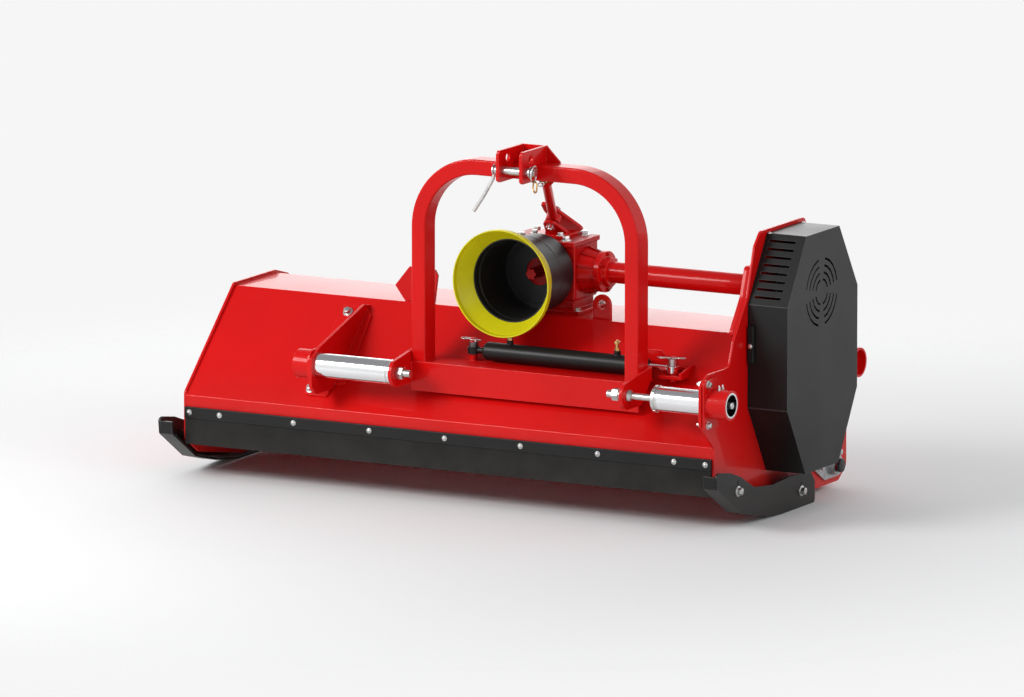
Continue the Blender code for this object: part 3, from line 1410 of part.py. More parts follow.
def make_rear_door():
    """A sheet that hangs on a rod between the end plates, stiffened by a lip at its lower edge."""
    half = HOOD_HALF - END_PLATE - 0.004
    knuckle = pipe(
        "rear_door", DOOR_KNUCKLE_RADIUS, DOOR_ROD_RADIUS + 0.0006, "X", -half, half, (DOOR_HINGE_Y, DOOR_HINGE_Z), 20
    )
    down = Vector((math.sin(DOOR_LEAN), -math.cos(DOOR_LEAN)))
    out = Vector((math.cos(DOOR_LEAN), math.sin(DOOR_LEAN)))
    hinge = Vector((DOOR_HINGE_Y, DOOR_HINGE_Z))
    path = [
        hinge + out * (DOOR_KNUCKLE_RADIUS - 0.002) + down * 0.002,
        hinge + out * (DOOR_KNUCKLE_RADIUS - 0.002) + down * (DOOR_DEPTH - 0.002),
        hinge + out * (DOOR_KNUCKLE_RADIUS + 0.022) + down * DOOR_DEPTH,
    ]
    sheet = extruded_strip("sheet", [tuple(p) for p in path], -half, half, 0.004)
    finish(joined(knuckle, sheet), RED, DOOR)
    reach = HOOD_HALF + 0.004
    rod = bar("door_rod", DOOR_ROD_RADIUS, "X", -reach, reach, (DOOR_HINGE_Y, DOOR_HINGE_Z), 14)
    finish(rod, ZINC, ROOT)


def make_shaft_rest():
    """A notched plate on the hood's top that holds the drive shaft's end when the machine is unhitched."""
    x, foot = -0.268, HOOD_TOP_Z + GAP
    notch = arc((x, HOOD_TOP_Z + 0.084), 0.026, 165, 375, 12)
    outline = [
        (x + 0.046, HOOD_TOP_Z + 0.108),
        (x + 0.056, HOOD_TOP_Z + 0.090),
        (x + 0.044, foot),
        (x - 0.062, foot),
        (x - 0.098, HOOD_TOP_Z + 0.048),
        (x - 0.046, HOOD_TOP_Z + 0.112),
        (x - 0.030, HOOD_TOP_Z + 0.112),
        *notch,
        (x + 0.030, HOOD_TOP_Z + 0.108),
    ]
    rest = flat("shaft_rest", outline, 0.010, "-Y", HOOD_TOP_FRONT_Y + 0.016)
    finish(rest, RED, ROOT, smooth=False)


def make_lifting_eye():
    """A lug welded on the hood's top, for a hoist."""
    x = 0.372
    eye_z = HOOD_TOP_Z + 0.046
    outline = [
        (x - 0.032, HOOD_TOP_Z + GAP),
        (x + 0.032, HOOD_TOP_Z + GAP),
        *arc((x, eye_z), 0.032, 0, 180, 10),
    ]
    eye = flat("lifting_eye", outline, 0.012, "-Y", 0.345, [circle((x, eye_z), 0.015, 16)])
    finish(eye, RED, ROOT)


def make_guard_latch():
    """The rubber strap that holds the guard's front edge to the drive plate."""
    x = GUARD_INNER_X + 0.004
    latch = box("guard_latch", (x, GUARD_FRONT_Y - 0.012, 0.500), (x + 0.022, GUARD_FRONT_Y - GAP, 0.620))
    rounded(latch, 0.003, 1)
    finish(latch, RUBBER, ROOT)


def build():
    make_hood()
    make_end_plates()
    make_front_flap()
    make_skid(-1)
    make_skid(1)
    make_rotor()
    for row in range(FLAIL_ROWS):
        for place in range(FLAILS_PER_ROW):
            make_flail(row, place)
    make_bearing("rotor_bearing_left", -HOOD_HALF - GAP, -1, (ROTOR_Y, ROTOR_Z), 0.045, ROTOR_SHAFT_RADIUS, 0.026)
    make_bearing("rotor_bearing_right", HOOD_HALF + GAP, 1, (ROTOR_Y, ROTOR_Z), 0.045, ROTOR_SHAFT_RADIUS)
    make_cross_drive()
    make_bearing("drive_bearing", HOOD_HALF + 0.007, 1, (DRIVE_Y, DRIVE_Z), 0.042, DRIVE_SHAFT_RADIUS, 0.026)
    make_pulley("drive_pulley", DRIVE_PULLEY_RADIUS, (DRIVE_Y, DRIVE_Z), DRIVE_SHAFT_RADIUS, DRIVE)
    make_pulley("rotor_pulley", ROTOR_PULLEY_RADIUS, (ROTOR_Y, ROTOR_Z), ROTOR_SHAFT_RADIUS, ROTOR)
    make_belts()
    make_belt_guard()
    make_gearbox()
    make_input_shaft()
    make_shaft_shield()
    make_guide_bushes()
    make_left_support()
    make_carriage()
    make_guides()
    make_cylinder()
    make_rod_bracket()
    make_mast()
    make_stay()
    make_stay_bracket()
    make_top_pin()
    make_roller()
    make_rear_door()
    make_lifting_eye()
    make_shaft_rest()
    make_guard_latch()


build()
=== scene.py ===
# %% [markdown]
# # A side-shift flail mulcher in a photo studio
#
# This notebook dresses the engineering model of a mulcher: a red steel hood on two skids, a hitch arch that
# slides sideways on chrome guide tubes, a gearbox with a shielded input shaft, and a belt drive under a
# black cover. The engineering model already has every sheet, tube and casting in its place. What it lacks is
# what the eye reads as real: paint with depth, bolts, welds, clips, fittings and a soft light.
#
# We load the model first. Everything after that is placed in metres, in the same frame.

# %% Load the machine
import json
import math

import bmesh
import bpy
from mathutils import Matrix, Vector
from mathutils.bvhtree import BVHTree

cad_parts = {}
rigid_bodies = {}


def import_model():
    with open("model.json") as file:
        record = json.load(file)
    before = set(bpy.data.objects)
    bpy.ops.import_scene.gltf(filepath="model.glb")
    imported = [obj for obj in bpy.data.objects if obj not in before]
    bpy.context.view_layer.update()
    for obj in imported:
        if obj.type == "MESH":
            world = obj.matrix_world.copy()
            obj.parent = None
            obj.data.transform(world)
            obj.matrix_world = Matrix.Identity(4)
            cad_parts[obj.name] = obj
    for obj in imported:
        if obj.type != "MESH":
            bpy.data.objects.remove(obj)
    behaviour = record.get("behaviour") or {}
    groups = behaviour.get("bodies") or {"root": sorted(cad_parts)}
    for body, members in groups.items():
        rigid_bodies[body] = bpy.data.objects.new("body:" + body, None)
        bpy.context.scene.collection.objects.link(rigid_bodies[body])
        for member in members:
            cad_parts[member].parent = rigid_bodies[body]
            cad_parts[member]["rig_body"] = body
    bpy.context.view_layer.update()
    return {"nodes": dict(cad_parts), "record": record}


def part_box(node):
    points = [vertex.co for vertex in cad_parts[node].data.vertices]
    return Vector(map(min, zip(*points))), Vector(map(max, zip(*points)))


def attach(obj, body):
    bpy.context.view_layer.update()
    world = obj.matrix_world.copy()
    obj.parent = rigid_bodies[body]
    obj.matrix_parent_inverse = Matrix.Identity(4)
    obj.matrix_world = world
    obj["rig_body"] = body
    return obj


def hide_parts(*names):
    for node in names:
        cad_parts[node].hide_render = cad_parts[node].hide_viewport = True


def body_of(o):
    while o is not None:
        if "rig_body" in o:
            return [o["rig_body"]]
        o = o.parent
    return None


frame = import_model()
scene = bpy.context.scene
NODES = frame["nodes"]

# %% [markdown]
# ## Where things are
#
# The machine's makers measure from the middle of the hood, from the front face of its flange, and from the
# ground. The model's origin lies under the middle of the whole machine instead, so one small function turns
# a workshop measurement into a point of the model.

# %% From workshop measures to model points
FROM_MIDDLE_X = -0.045
FROM_FLANGE_Y = -0.4065


def spot(x, y, z):
    """A point of the model from the workshop's x, y and z."""
    return Vector((x + FROM_MIDDLE_X, y + FROM_FLANGE_Y, z))


def on_face(x, places):
    """Points with the workshop's y and z, on an upright face at the model's x."""
    return [Vector((x, y + FROM_FLANGE_Y, z)) for y, z in places]


X_AXIS, Y_AXIS, Z_AXIS = Vector((1, 0, 0)), Vector((0, 1, 0)), Vector((0, 0, 1))
PLATE_INNER, FLANGE_FACE, HOOD_TOP = 0.942, 0.9583, 0.5705
GUIDE = (-0.034, 0.413)
REAR_BUSH = (0.843, 0.408)
DRIVE = (0.455, 0.7)
ROTOR = (0.455, 0.3)
CARRIAGE_X, ARCH_HALF = 0.25, 0.404
GEARBOX_X, GEARBOX_HALF = 0.14, 0.12
print("guide line at", tuple(round(v, 3) for v in spot(0, *GUIDE)))

# %% [markdown]
# ## The camera
#
# A catalogue picture like this is taken from far away with a long lens, so that parallel edges stay parallel.
# We stand 40 m off, 28.5 degrees round from the front and 10.4 degrees up, and choose the lens so that one
# metre of machine spans the same share of the picture as in the catalogue.

# %% A long lens from the front quarter
def add_object(name, data):
    """Adds an object to the scene."""
    thing = bpy.data.objects.new(name, data)
    scene.collection.objects.link(thing)
    return thing


def stand_and_aim(thing, place, target):
    """Stands a camera or a lamp at a place and turns it towards a target."""
    thing.location = place
    thing.rotation_euler = (Vector(target) - Vector(place)).to_track_quat("-Z", "Y").to_euler()


VIEW_TURN, VIEW_RISE = math.radians(28.5), math.radians(10.4)
VIEW_DISTANCE = 40.0
LENS_PER_METRE = 11.11
aim = Vector((-0.03, 0.0, 0.434))
toward_camera = Vector(
    (math.sin(VIEW_TURN) * math.cos(VIEW_RISE), -math.cos(VIEW_TURN) * math.cos(VIEW_RISE), math.sin(VIEW_RISE))
)
camera_data = bpy.data.cameras.new("studio_camera")
camera_data.lens = LENS_PER_METRE * VIEW_DISTANCE
camera_data.clip_end = 200.0
scene.camera = add_object("studio_camera", camera_data)
stand_and_aim(scene.camera, aim + toward_camera * VIEW_DISTANCE, aim)
print("lens:", round(camera_data.lens, 1), "mm")

# %% [markdown]
# ## Materials
#
# Real enamel is never one flat colour. It has a clear skin that reflects sharply, a faint waviness called
# orange peel, and a thin film of dust that gathers low down and in patches. All of these come from a few
# noise textures on object coordinates, so nothing slides when a piece moves, and no picture file is needed.
# Three small helpers set, add and link the shader's nodes.

# %% Setting and adding shader nodes
def set_inputs(tree, node, inputs):
    """Sets a node's inputs, or links them to another node's output. A node stands for its first output."""
    for name, value in inputs.items():
        if isinstance(value, bpy.types.Node):
            value = value.outputs[0]
        if isinstance(value, bpy.types.NodeSocket):
            tree.links.new(value, node.inputs[name])
        else:
            node.inputs[name].default_value = value


def add_node(tree, kind, inputs=None, **settings):
    """Adds a shader node with its settings and inputs."""
    node = tree.nodes.new("ShaderNode" + kind)
    for name, value in settings.items():
        setattr(node, name, value)
    set_inputs(tree, node, inputs or {})
    return node


def set_ramp(ramp, *stops):
    """Gives a colour ramp its stops, each a position and a colour."""
    elements = ramp.color_ramp.elements
    for number, (position, colour) in enumerate(stops):
        stop = elements[number] if number < len(elements) else elements.new(position)
        stop.position, stop.color = position, (*colour, 1.0)


# %% [markdown]
# A small builder makes the part that all finishes share, and each finish then sets its own numbers.

# %% A builder for coated surfaces
def mottled(name, colour, second, patch, roughness, grain, grain_height, metallic=0.0, specular=0.5):
    """A finish whose colour drifts between two tones in patches, with fine grain in its surface."""
    material = bpy.data.materials.new(name)
    material.use_nodes = True
    tree = material.node_tree
    place = add_node(tree, "TexCoord").outputs["Object"]
    patches = add_node(tree, "TexNoise", {"Scale": patch, "Detail": 4.0, "Vector": place})
    tones = add_node(tree, "ValToRGB", {"Fac": patches}, name="tones")
    set_ramp(tones, (0.38, second), (0.62, colour))
    gloss = add_node(tree, "MapRange", {"To Min": roughness * 1.25, "To Max": roughness * 0.85, "Value": patches})
    fine = add_node(tree, "TexNoise", {"Scale": grain, "Detail": 3.0, "Vector": place})
    bump = add_node(tree, "Bump", {"Strength": 0.6, "Distance": grain_height, "Height": fine}, name="grain")
    set_inputs(tree, tree.nodes["Principled BSDF"], {
        "Metallic": metallic, "Specular IOR Level": specular, "Base Color": tones, "Roughness": gloss, "Normal": bump,
    })
    return material


def reopened(material):
    """The node tree of a finish, its shader and its object coordinates."""
    tree = material.node_tree
    return tree, tree.nodes["Principled BSDF"], tree.nodes["Texture Coordinate"].outputs["Object"]


def coated(material, weight, roughness):
    """A clear skin over the colour, which gives paint its sharp highlights."""
    tree, shader, _ = reopened(material)
    set_inputs(tree, shader, {"Coat Weight": weight, "Coat Roughness": roughness})
    return material


# %% [markdown]
# Dust is the other half of a believable finish. It is thickest near the ground, so we mix a dust colour in by
# the height of a point, broken up by noise. The amount stays low, because this machine is new.

# %% A film of dust
def dusty(material, dust, amount, top=0.35):
    """Mixes dust into the colour, thickest at the ground and gone above a height."""
    tree, shader, place = reopened(material)
    height = add_node(tree, "SeparateXYZ", {"Vector": place}).outputs["Z"]
    low_down = add_node(tree, "MapRange", {
        "From Min": 0.0, "From Max": top, "To Min": amount, "To Max": 0.0, "Value": height,
    })
    clouds = add_node(tree, "TexNoise", {"Scale": 11.0, "Detail": 6.0, "Vector": place})
    share = add_node(tree, "Math", {0: low_down, 1: clouds}, operation="MULTIPLY")
    mix = add_node(tree, "Mix", {"B": (*dust, 1.0), "Factor": share, "A": tree.nodes["tones"]}, data_type="RGBA")
    set_inputs(tree, shader, {"Base Color": mix.outputs["Result"]})
    return material


# %% [markdown]
# ### Red enamel
#
# The sheets are sprayed in a bright, slightly orange red. The castings take the same paint over a sandy
# surface, so they look a little darker and rougher: the same recipe with coarser grain. Rounded rims get a
# slightly lighter red of their own, a painted highlight along each edge.

# %% Red enamel on sheet and on castings, and a lighter red for painted rim highlights
DUST = (0.3, 0.25, 0.2)
red_enamel = dusty(coated(
    mottled("red_enamel", (0.67, 0.004, 0.004), (0.61, 0.003, 0.003), 3.0, 0.34, 260.0, 0.00003, specular=0.1),
    0.24, 0.035), DUST, 0.14)
# A lighter red for rounded rims: a painted highlight along each edge.
enamel_rim_highlight = coated(
    mottled("enamel_rim_highlight", (0.8, 0.016, 0.014), (0.64, 0.006, 0.006), 90.0, 0.28, 500.0, 0.00005, specular=0.3),
    0.2, 0.1)
cast_enamel = coated(
    mottled("cast_enamel", (0.5, 0.004, 0.004), (0.42, 0.003, 0.003), 9.0, 0.4, 420.0, 0.0003, specular=0.12),
    0.14, 0.12)
print("reds:", red_enamel.name, enamel_rim_highlight.name, cast_enamel.name)

# %% [markdown]
# ### Dark paint, rubber and plastics
#
# The skids and the belt cover are powder coated in a very dark grey with a fine leather texture, and their
# rims take a lighter grey, a painted highlight. The flap is cut from conveyor rubber: duller, with faint ripples
# along its length.
# The shaft's shield is moulded, in black and in signal yellow, and moulded plastic has a soft sheen.

# %% Powder coat, its lighter grey for painted rim highlights, rubber and moulded plastics
powder_coat = dusty(
    mottled("powder_coat", (0.012, 0.012, 0.012), (0.009, 0.009, 0.009), 5.0, 0.34, 900.0, 0.00012, specular=0.23),
    DUST, 0.1, 0.25)
# A lighter grey for rounded rims: a painted highlight along each edge.
powder_rim_highlight = mottled("powder_rim_highlight", (0.05, 0.05, 0.051), (0.028, 0.028, 0.029), 80.0, 0.4, 900.0, 0.00008)
flap_rubber = dusty(
    mottled("flap_rubber", (0.011, 0.011, 0.011), (0.008, 0.008, 0.008), 14.0, 0.62, 700.0, 0.0001, specular=0.2),
    DUST, 0.16, 0.24)
belt_rubber = mottled("belt_rubber", (0.02, 0.02, 0.021), (0.012, 0.012, 0.012), 30.0, 0.78, 900.0, 0.0001)
black_plastic = mottled(
    "black_plastic", (0.012, 0.012, 0.013), (0.009, 0.009, 0.01), 8.0, 0.42, 500.0, 0.00003, specular=0.35)
yellow_plastic = mottled(
    "yellow_plastic", (0.7, 0.64, 0.006), (0.62, 0.56, 0.004), 7.0, 0.38, 500.0, 0.00003, specular=0.3)


def ripple(material, axis_scale, height):
    """Adds long ripples to a finish by a noise that is stretched along the machine."""
    tree, shader, place = reopened(material)
    stretch = add_node(tree, "Mapping", {"Scale": axis_scale, "Vector": place})
    waves = add_node(tree, "TexNoise", {"Scale": 1.0, "Vector": stretch})
    bump = {"Strength": 0.5, "Distance": height, "Height": waves, "Normal": tree.nodes["grain"]}
    set_inputs(tree, shader, {"Normal": add_node(tree, "Bump", bump)})


ripple(flap_rubber, (3.0, 60.0, 60.0), 0.0012)
ripple(red_enamel, (4.0, 6.0, 6.0), 0.0006)
print("dark finishes:", [m.name for m in (powder_coat, flap_rubber, belt_rubber, black_plastic)])

# %% [markdown]
# ### Bare metals
#
# Chrome is the smoothest thing on the machine, with the faint rings that grinding leaves round a bar. Zinc
# plate is whiter, with cloudy patches from the bath, and hot-dip galvanising shows its crystals, which a
# Voronoi texture draws well. Brass and plain dark steel make the fittings and the hidden working parts.

# %% Chrome, zinc, galvanising, brass and steel
chrome = mottled("chrome", (0.88, 0.89, 0.9), (0.84, 0.85, 0.86), 6.0, 0.09, 500.0, 0.00001, 1.0)
ripple(chrome, (900.0, 2.0, 2.0), 0.00002)
zinc_plate = mottled("zinc_plate", (0.66, 0.66, 0.65), (0.5, 0.51, 0.5), 60.0, 0.3, 900.0, 0.00003, 1.0)
brass = mottled("brass", (0.62, 0.38, 0.15), (0.5, 0.3, 0.11), 70.0, 0.3, 900.0, 0.00003, 1.0)
dark_steel = mottled("dark_steel", (0.2, 0.2, 0.21), (0.13, 0.12, 0.12), 25.0, 0.42, 500.0, 0.0001, 1.0)
black_cap = mottled("black_cap", (0.014, 0.014, 0.015), (0.01, 0.01, 0.011), 30.0, 0.45, 700.0, 0.00002)
galvanised = mottled("galvanised", (0.5, 0.51, 0.52), (0.36, 0.37, 0.38), 40.0, 0.38, 500.0, 0.00004, 1.0)


def add_crystals(material, size):
    """Zinc crystals: each Voronoi cell shifts the roughness a little."""
    tree, shader, place = reopened(material)
    cells = add_node(tree, "TexVoronoi", {"Scale": 1.0 / size, "Vector": place}).outputs["Color"]
    spread = add_node(tree, "MapRange", {"To Min": 0.26, "To Max": 0.5, "Value": cells})
    set_inputs(tree, shader, {"Roughness": spread})


add_crystals(galvanised, 0.009)
print("metals:", [m.name for m in (chrome, zinc_plate, brass, dark_steel, galvanised)])

# %% [markdown]
# ## Helpers for pieces
#
# Every piece starts as a bmesh and ends as an object at the origin, with its place in its mesh.
# `finish_piece` does the last steps that all of them need: it merges doubles, turns the faces outwards, gives
# the piece a finish, and lets it ride on the body of the machine that carries it.

# %% Finishing a piece
bpy.context.view_layer.update()
SLOTS = {row["node"]: row["material_slot"] for row in frame["record"]["subparts"]}


def finish_piece(name, bm, finish, body="machine", slot="zinc_plate", smooth=35, turn_out=True):
    """Makes an object from a bmesh and lets it ride on a body."""
    bmesh.ops.remove_doubles(bm, verts=bm.verts, dist=0.00001)
    if turn_out:
        bmesh.ops.recalc_face_normals(bm, faces=bm.faces)
    mesh = bpy.data.meshes.new(name)
    bm.to_mesh(mesh)
    bm.free()
    piece = add_object(name, mesh)
    for material in finish if isinstance(finish, list) else [finish]:
        piece.data.materials.append(material)
    piece.data.shade_smooth()
    piece.data.set_sharp_from_angle(angle=math.radians(smooth))
    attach(piece, body)
    return piece


# %% [markdown]
# `round_edges` is `bevel` with the settings that we always use, and a block is a cube, scaled and moved.

# %% Rounding edges, facing a direction, adding blocks
def round_edges(bm, edges, width, segments=2, material=-1, clamp=False):
    """Rounds edges, and gives the rounded faces a material of the piece, or that of their neighbours."""
    return bmesh.ops.bevel(
        bm, geom=edges, offset=width, offset_type="OFFSET", segments=segments, profile=0.5,
        affect="EDGES", clamp_overlap=clamp, material=material)


def sharp_edges(bm, degrees):
    """The edges whose two faces meet at more than an angle."""
    return [edge for edge in bm.edges if edge.calc_face_angle(0.0) > math.radians(degrees)]


def facing(direction, place):
    """A matrix that stands a shape's +Z along a direction, at a place."""
    return Matrix.Translation(place) @ direction.to_track_quat("Z", "Y").to_matrix().to_4x4()


def add_block(bm, size, place=(0, 0, 0)):
    """A cube that is scaled to a size and moved to a place."""
    made = bmesh.ops.create_cube(bm, size=1.0)["verts"]
    bmesh.ops.scale(bm, verts=made, vec=size)
    bmesh.ops.translate(bm, verts=made, vec=place)
    return made


def add_blocks_round(bm, size, place, centre, axis, angles):
    """Equal blocks round an axis, at angles in degrees."""
    for degrees in angles:
        turn = Matrix.Translation(centre) @ Matrix.Rotation(math.radians(degrees), 4, axis)
        bmesh.ops.transform(bm, matrix=turn, verts=add_block(bm, size, place))


# %% [markdown]
# ## Dressing the engineering model
#
# The model's solids have razor-sharp edges and loose triangles. No cut or folded sheet has such an edge once
# it is painted, and the thin bright line along a rounded rim is what makes a sheet look like steel. So each
# solid is copied, its triangles are joined, its flat areas are made whole again with `dissolve_limit`, and
# its sharp edges are rounded with `bevel`. The rounded faces take the second material, a lighter colour that
# paints a highlight along the rim, and no point may leave the box of its solid. The copy stands for its solid,
# at the same place. A Weighted Normal modifier keeps its flat sheets flat to the eye beside their rounded rims.

# %% A dressed copy of a solid
def stand_in(node, ending, bm, finish, smooth=35, turn_out=True):
    """A piece that stands for a solid, on the same body."""
    body = body_of(NODES[node])[0]
    piece = finish_piece(f"{node}_{ending}", bm, finish, body, SLOTS[node], smooth, turn_out)
    piece.modifiers.new("even_shading", "WEIGHTED_NORMAL").keep_sharp = True
    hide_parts(node)


def dressed(node, finish, rim, rim_width, rim_angle):
    """Copies a solid, rounds its rims, and stands the copy in its place."""
    source = NODES[node]
    bm = bmesh.new()
    bm.from_mesh(source.data)
    bmesh.ops.transform(bm, matrix=source.matrix_world, verts=bm.verts)
    bmesh.ops.remove_doubles(bm, verts=bm.verts, dist=0.00002)
    bmesh.ops.dissolve_limit(bm, angle_limit=math.radians(0.3), verts=bm.verts, edges=bm.edges)
    # The rounded faces take the rim colour where one is given: a painted highlight along the edge.
    if rim_width:
        round_edges(bm, sharp_edges(bm, rim_angle), rim_width, material=1 if rim else -1)
    low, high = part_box(node)
    for vert in bm.verts:
        vert.co = [min(max(value, a), b) for value, a, b in zip(vert.co, low, high)]
    stand_in(node, "dressed", bm, [finish, rim] if rim else finish, 50, turn_out=False)


# %% [markdown]
# Each kind of sheet has its own edge radius: thick plate is ground by hand, thin sheet is only deburred. The
# belt's cover and the flap's strip are folded at blunt angles, so there even blunt edges count as rims.

# %% Which finish and which rim colour, a painted highlight, each solid gets
FOLDED, FOLD_ANGLE, RIM_ANGLE = ("belt_guard", "flap_strip"), 24.0, 42.0
WORKING = [
    "rotor_bearing_left", "rotor_bearing_right", "drive_bearing", "drive_pulley", "rotor_pulley", "cross_shaft",
    *(f"flail_{number:02d}" for number in range(1, 13)),
]
DRESSES = (
    (red_enamel, enamel_rim_highlight, {
        "hood": 0.0012, "end_plate_left": 0.0011, "end_plate_right": 0.0011, "carriage_beam": 0.0014,
        "hitch_ear_left": 0.0014, "hitch_ear_right": 0.0014, "guide_support_left": 0.001, "rod_bracket": 0.0008,
        "mast_bracket": 0.0009, "stay_bracket": 0.0009, "lifting_eye": 0.0012, "shaft_rest": 0.001,
        "bush_left": 0.0009, "bush_right": 0.0009, "bush_rear": 0.0009, "stay": 0.0008, "rear_door": 0.0006,
        "cross_tube": 0.0008, "rotor": 0.0008, "rear_roller": 0.001,
    }),
    (cast_enamel, enamel_rim_highlight, {"gearbox": 0.0018, "pto_shaft": 0.0006}),
    (powder_coat, powder_rim_highlight, {
        "skid_left": 0.001, "skid_right": 0.001, "belt_guard": 0.0008, "flap_strip": 0.0007,
        "cylinder_barrel": 0.0006,
    }),
    (flap_rubber, None, {"front_flap": 0.0008, "guard_latch": 0.001}),
    (belt_rubber, None, {"drive_belt": 0.0}),
    (zinc_plate, None, dict.fromkeys(("stud_left", "guide_rod_right", "top_pin", "door_rod"), 0.0006)),
    (galvanised, None, dict.fromkeys(("roller_arm_left", "roller_arm_right"), 0.0009)),
    (chrome, None, {"cylinder_rod": 0.0006}),
    (dark_steel, None, dict.fromkeys(WORKING, 0.0008)),
)
for finish, rim, widths in DRESSES:
    for node, width in widths.items():
        dressed(node, finish, rim, width, FOLD_ANGLE if node in FOLDED else RIM_ANGLE)
bare = [node for node in NODES if f"{node}_dressed" not in bpy.data.objects]
print("dressed", len(NODES) - len(bare), "of", len(NODES), "nodes; still to make:", bare)

# %% [markdown]
# ## Turned pieces
#
# Chrome shows every facet of a coarse cylinder as a broken reflection, and so does the wide mouth of the
# shaft's shield. These pieces are turned again from their half sections with `bmesh.ops.spin`, a full turn in
# many more steps, as on a lathe.

# %% A lathe
def turned(bm, profile, axis, centre, steps=48):
    """Spins a closed half section (radius, place along the axis) once round the axis."""
    across = Y_AXIS if axis is X_AXIS else X_AXIS
    verts = [bm.verts.new(centre + across * radius + axis * along) for radius, along in profile]
    edges = [bm.edges.new((a, b)) for a, b in zip(verts, verts[1:] + verts[:1])]
    bmesh.ops.spin(bm, geom=verts + edges, cent=centre, axis=axis, angle=math.tau, steps=steps, use_merge=True)


def turned_rings(axis, centre, *rows, steps=48):
    """Plain rings on one axis. A row is an inner radius, outer radius, low and high."""
    bm = bmesh.new()
    for inner, outer, low, high in rows:
        turned(bm, [(inner, low), (outer, low), (outer, high), (inner, high)], axis, centre, steps)
    return bm


def lathe_piece(node, profile, axis, centre, finish, rim, rim_width, steps):
    """A turned piece with rounded rims that stands for a solid."""
    bm = bmesh.new()
    turned(bm, profile, axis, centre, steps)
    bmesh.ops.remove_doubles(bm, verts=bm.verts, dist=0.00001)
    round_edges(bm, sharp_edges(bm, 30), rim_width, material=1)
    stand_in(node, "turned", bm, [finish, rim])


# %% [markdown]
# The left guide tube slides with the carriage, and the right one is held in its bush while a rod runs in it.
# Both have a shallow groove near their ends, where the grinding wheel stopped.

# %% Chrome guide tubes
guide_line = spot(0, *GUIDE)
TUBE, BORE, GROOVE = 0.0399, 0.034, 0.0392
low, high = (corner.x - FROM_MIDDLE_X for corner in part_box("guide_tube_left"))
left_tube = [
    (0.0123, high), (TUBE, high), (TUBE, high - 0.009), (GROOVE, high - 0.0095), (GROOVE, high - 0.0125),
    (TUBE, high - 0.013), (TUBE, low), (BORE, low), (BORE, high - 0.02), (0.0123, high - 0.02),
]
lathe_piece("guide_tube_left", left_tube, X_AXIS, guide_line, chrome, zinc_plate, 0.0007, 96)
low, high = (corner.x - FROM_MIDDLE_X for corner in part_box("guide_tube_right"))
right_tube = [
    (BORE, high), (TUBE, high), (TUBE, low + 0.021), (GROOVE, low + 0.0205), (GROOVE, low + 0.0165),
    (TUBE, low + 0.016), (TUBE, low), (0.0118, low), (0.0118, low + 0.014), (BORE, low + 0.014),
]
lathe_piece("guide_tube_right", right_tube, X_AXIS, guide_line, chrome, zinc_plate, 0.0007, 96)
print("guide tubes turned")

# %% [markdown]
# The shield is a black bell with a yellow cone clipped over its mouth. The bell gets the two raised rings and
# the thick lip that a moulding has, and three clips hold the cone.

# %% Bell, cone and clips
shield_line = spot(GEARBOX_X, 0, DRIVE[1])
back, wall = 0.3567, 0.004
bell = [
    (0.044, back), (0.122, back), (0.125, back - 0.06), (0.1262, back - 0.078), (0.1275, back - 0.081),
    (0.1278, back - 0.088), (0.127, back - 0.091), (0.133, 0.196), (0.133, 0.168), (0.129, 0.168),
    (0.129, 0.194), (0.1255, 0.199), (0.118, back - 0.06), (0.118, back - wall), (0.1, back - wall),
    (0.099, back - wall - 0.003), (0.094, back - wall - 0.003), (0.093, back - wall), (0.044, back - wall),
]
lathe_piece("shield_bell", bell, Y_AXIS, shield_line, black_plastic, black_plastic, 0.0006, 120)
cone = [
    (0.1333, 0.188), (0.1363, 0.188), (0.14, 0.166), (0.171, 0.12), (0.171, 0.1), (0.167, 0.1),
    (0.167, 0.118), (0.136, 0.164), (0.1333, 0.167),
]
lathe_piece("shield_rim", cone, Y_AXIS, shield_line, yellow_plastic, yellow_plastic, 0.0006, 120)
clips = bmesh.new()
add_blocks_round(clips, (0.026, 0.018, 0.003), (0, 0.181, 0.1365), shield_line, "Y", (-8, 112, 232))
round_edges(clips, clips.edges[:], 0.0009)
finish_piece("shield_clips", clips, yellow_plastic, body_of(NODES["shield_rim"])[0], SLOTS["shield_rim"])
print("shield moulded")

# %% [markdown]
# ## The arch
#
# The arch is one length of rectangular tube, bent cold. So it is drawn as it is made: a rounded rectangle is
# pushed up for the leg, spun through a quarter turn, pushed across, spun again and pushed down. Twenty-four
# steps in each bend keep its outline round.

# %% A tube bent twice
def first_face(items):
    """The first face in what an operator returns."""
    return [item for item in items if isinstance(item, bmesh.types.BMFace)][0]


TUBE_X, TUBE_Y, CORNER, ARCH_TOP, BEAM_TOP = 0.05, 0.07, 0.23, 1.097, 0.437
arch = bmesh.new()
made = bmesh.ops.create_grid(arch, x_segments=1, y_segments=1, size=0.5)["verts"]
bmesh.ops.scale(arch, verts=made, vec=(TUBE_X, TUBE_Y, 1.0))
bmesh.ops.bevel(arch, geom=made, offset=0.006, segments=4, profile=0.5, affect="VERTICES")
start = spot(CARRIAGE_X - ARCH_HALF + TUBE_X / 2, 0.053 + TUBE_Y / 2, BEAM_TOP + 0.0003)
bmesh.ops.translate(arch, verts=arch.verts, vec=start)
end = first_face(arch.faces)


def push(bm, face, way, keep=False):
    """Extrudes the end face along a straight run and returns the new end."""
    new_face = first_face(bmesh.ops.extrude_face_region(bm, geom=[face])["geom"])
    bmesh.ops.translate(bm, verts=new_face.verts, vec=way)
    if not keep:
        bmesh.ops.delete(bm, geom=[face], context="FACES_ONLY")
    return new_face


def bend(bm, face, centre):
    """Spins the end face through a quarter turn and returns the new end."""
    result = bmesh.ops.spin(bm, geom=[face], cent=centre, axis=Y_AXIS, angle=math.radians(90), steps=24)
    if face.is_valid:
        bmesh.ops.delete(bm, geom=[face], context="FACES_ONLY")
    return first_face(result["geom_last"])


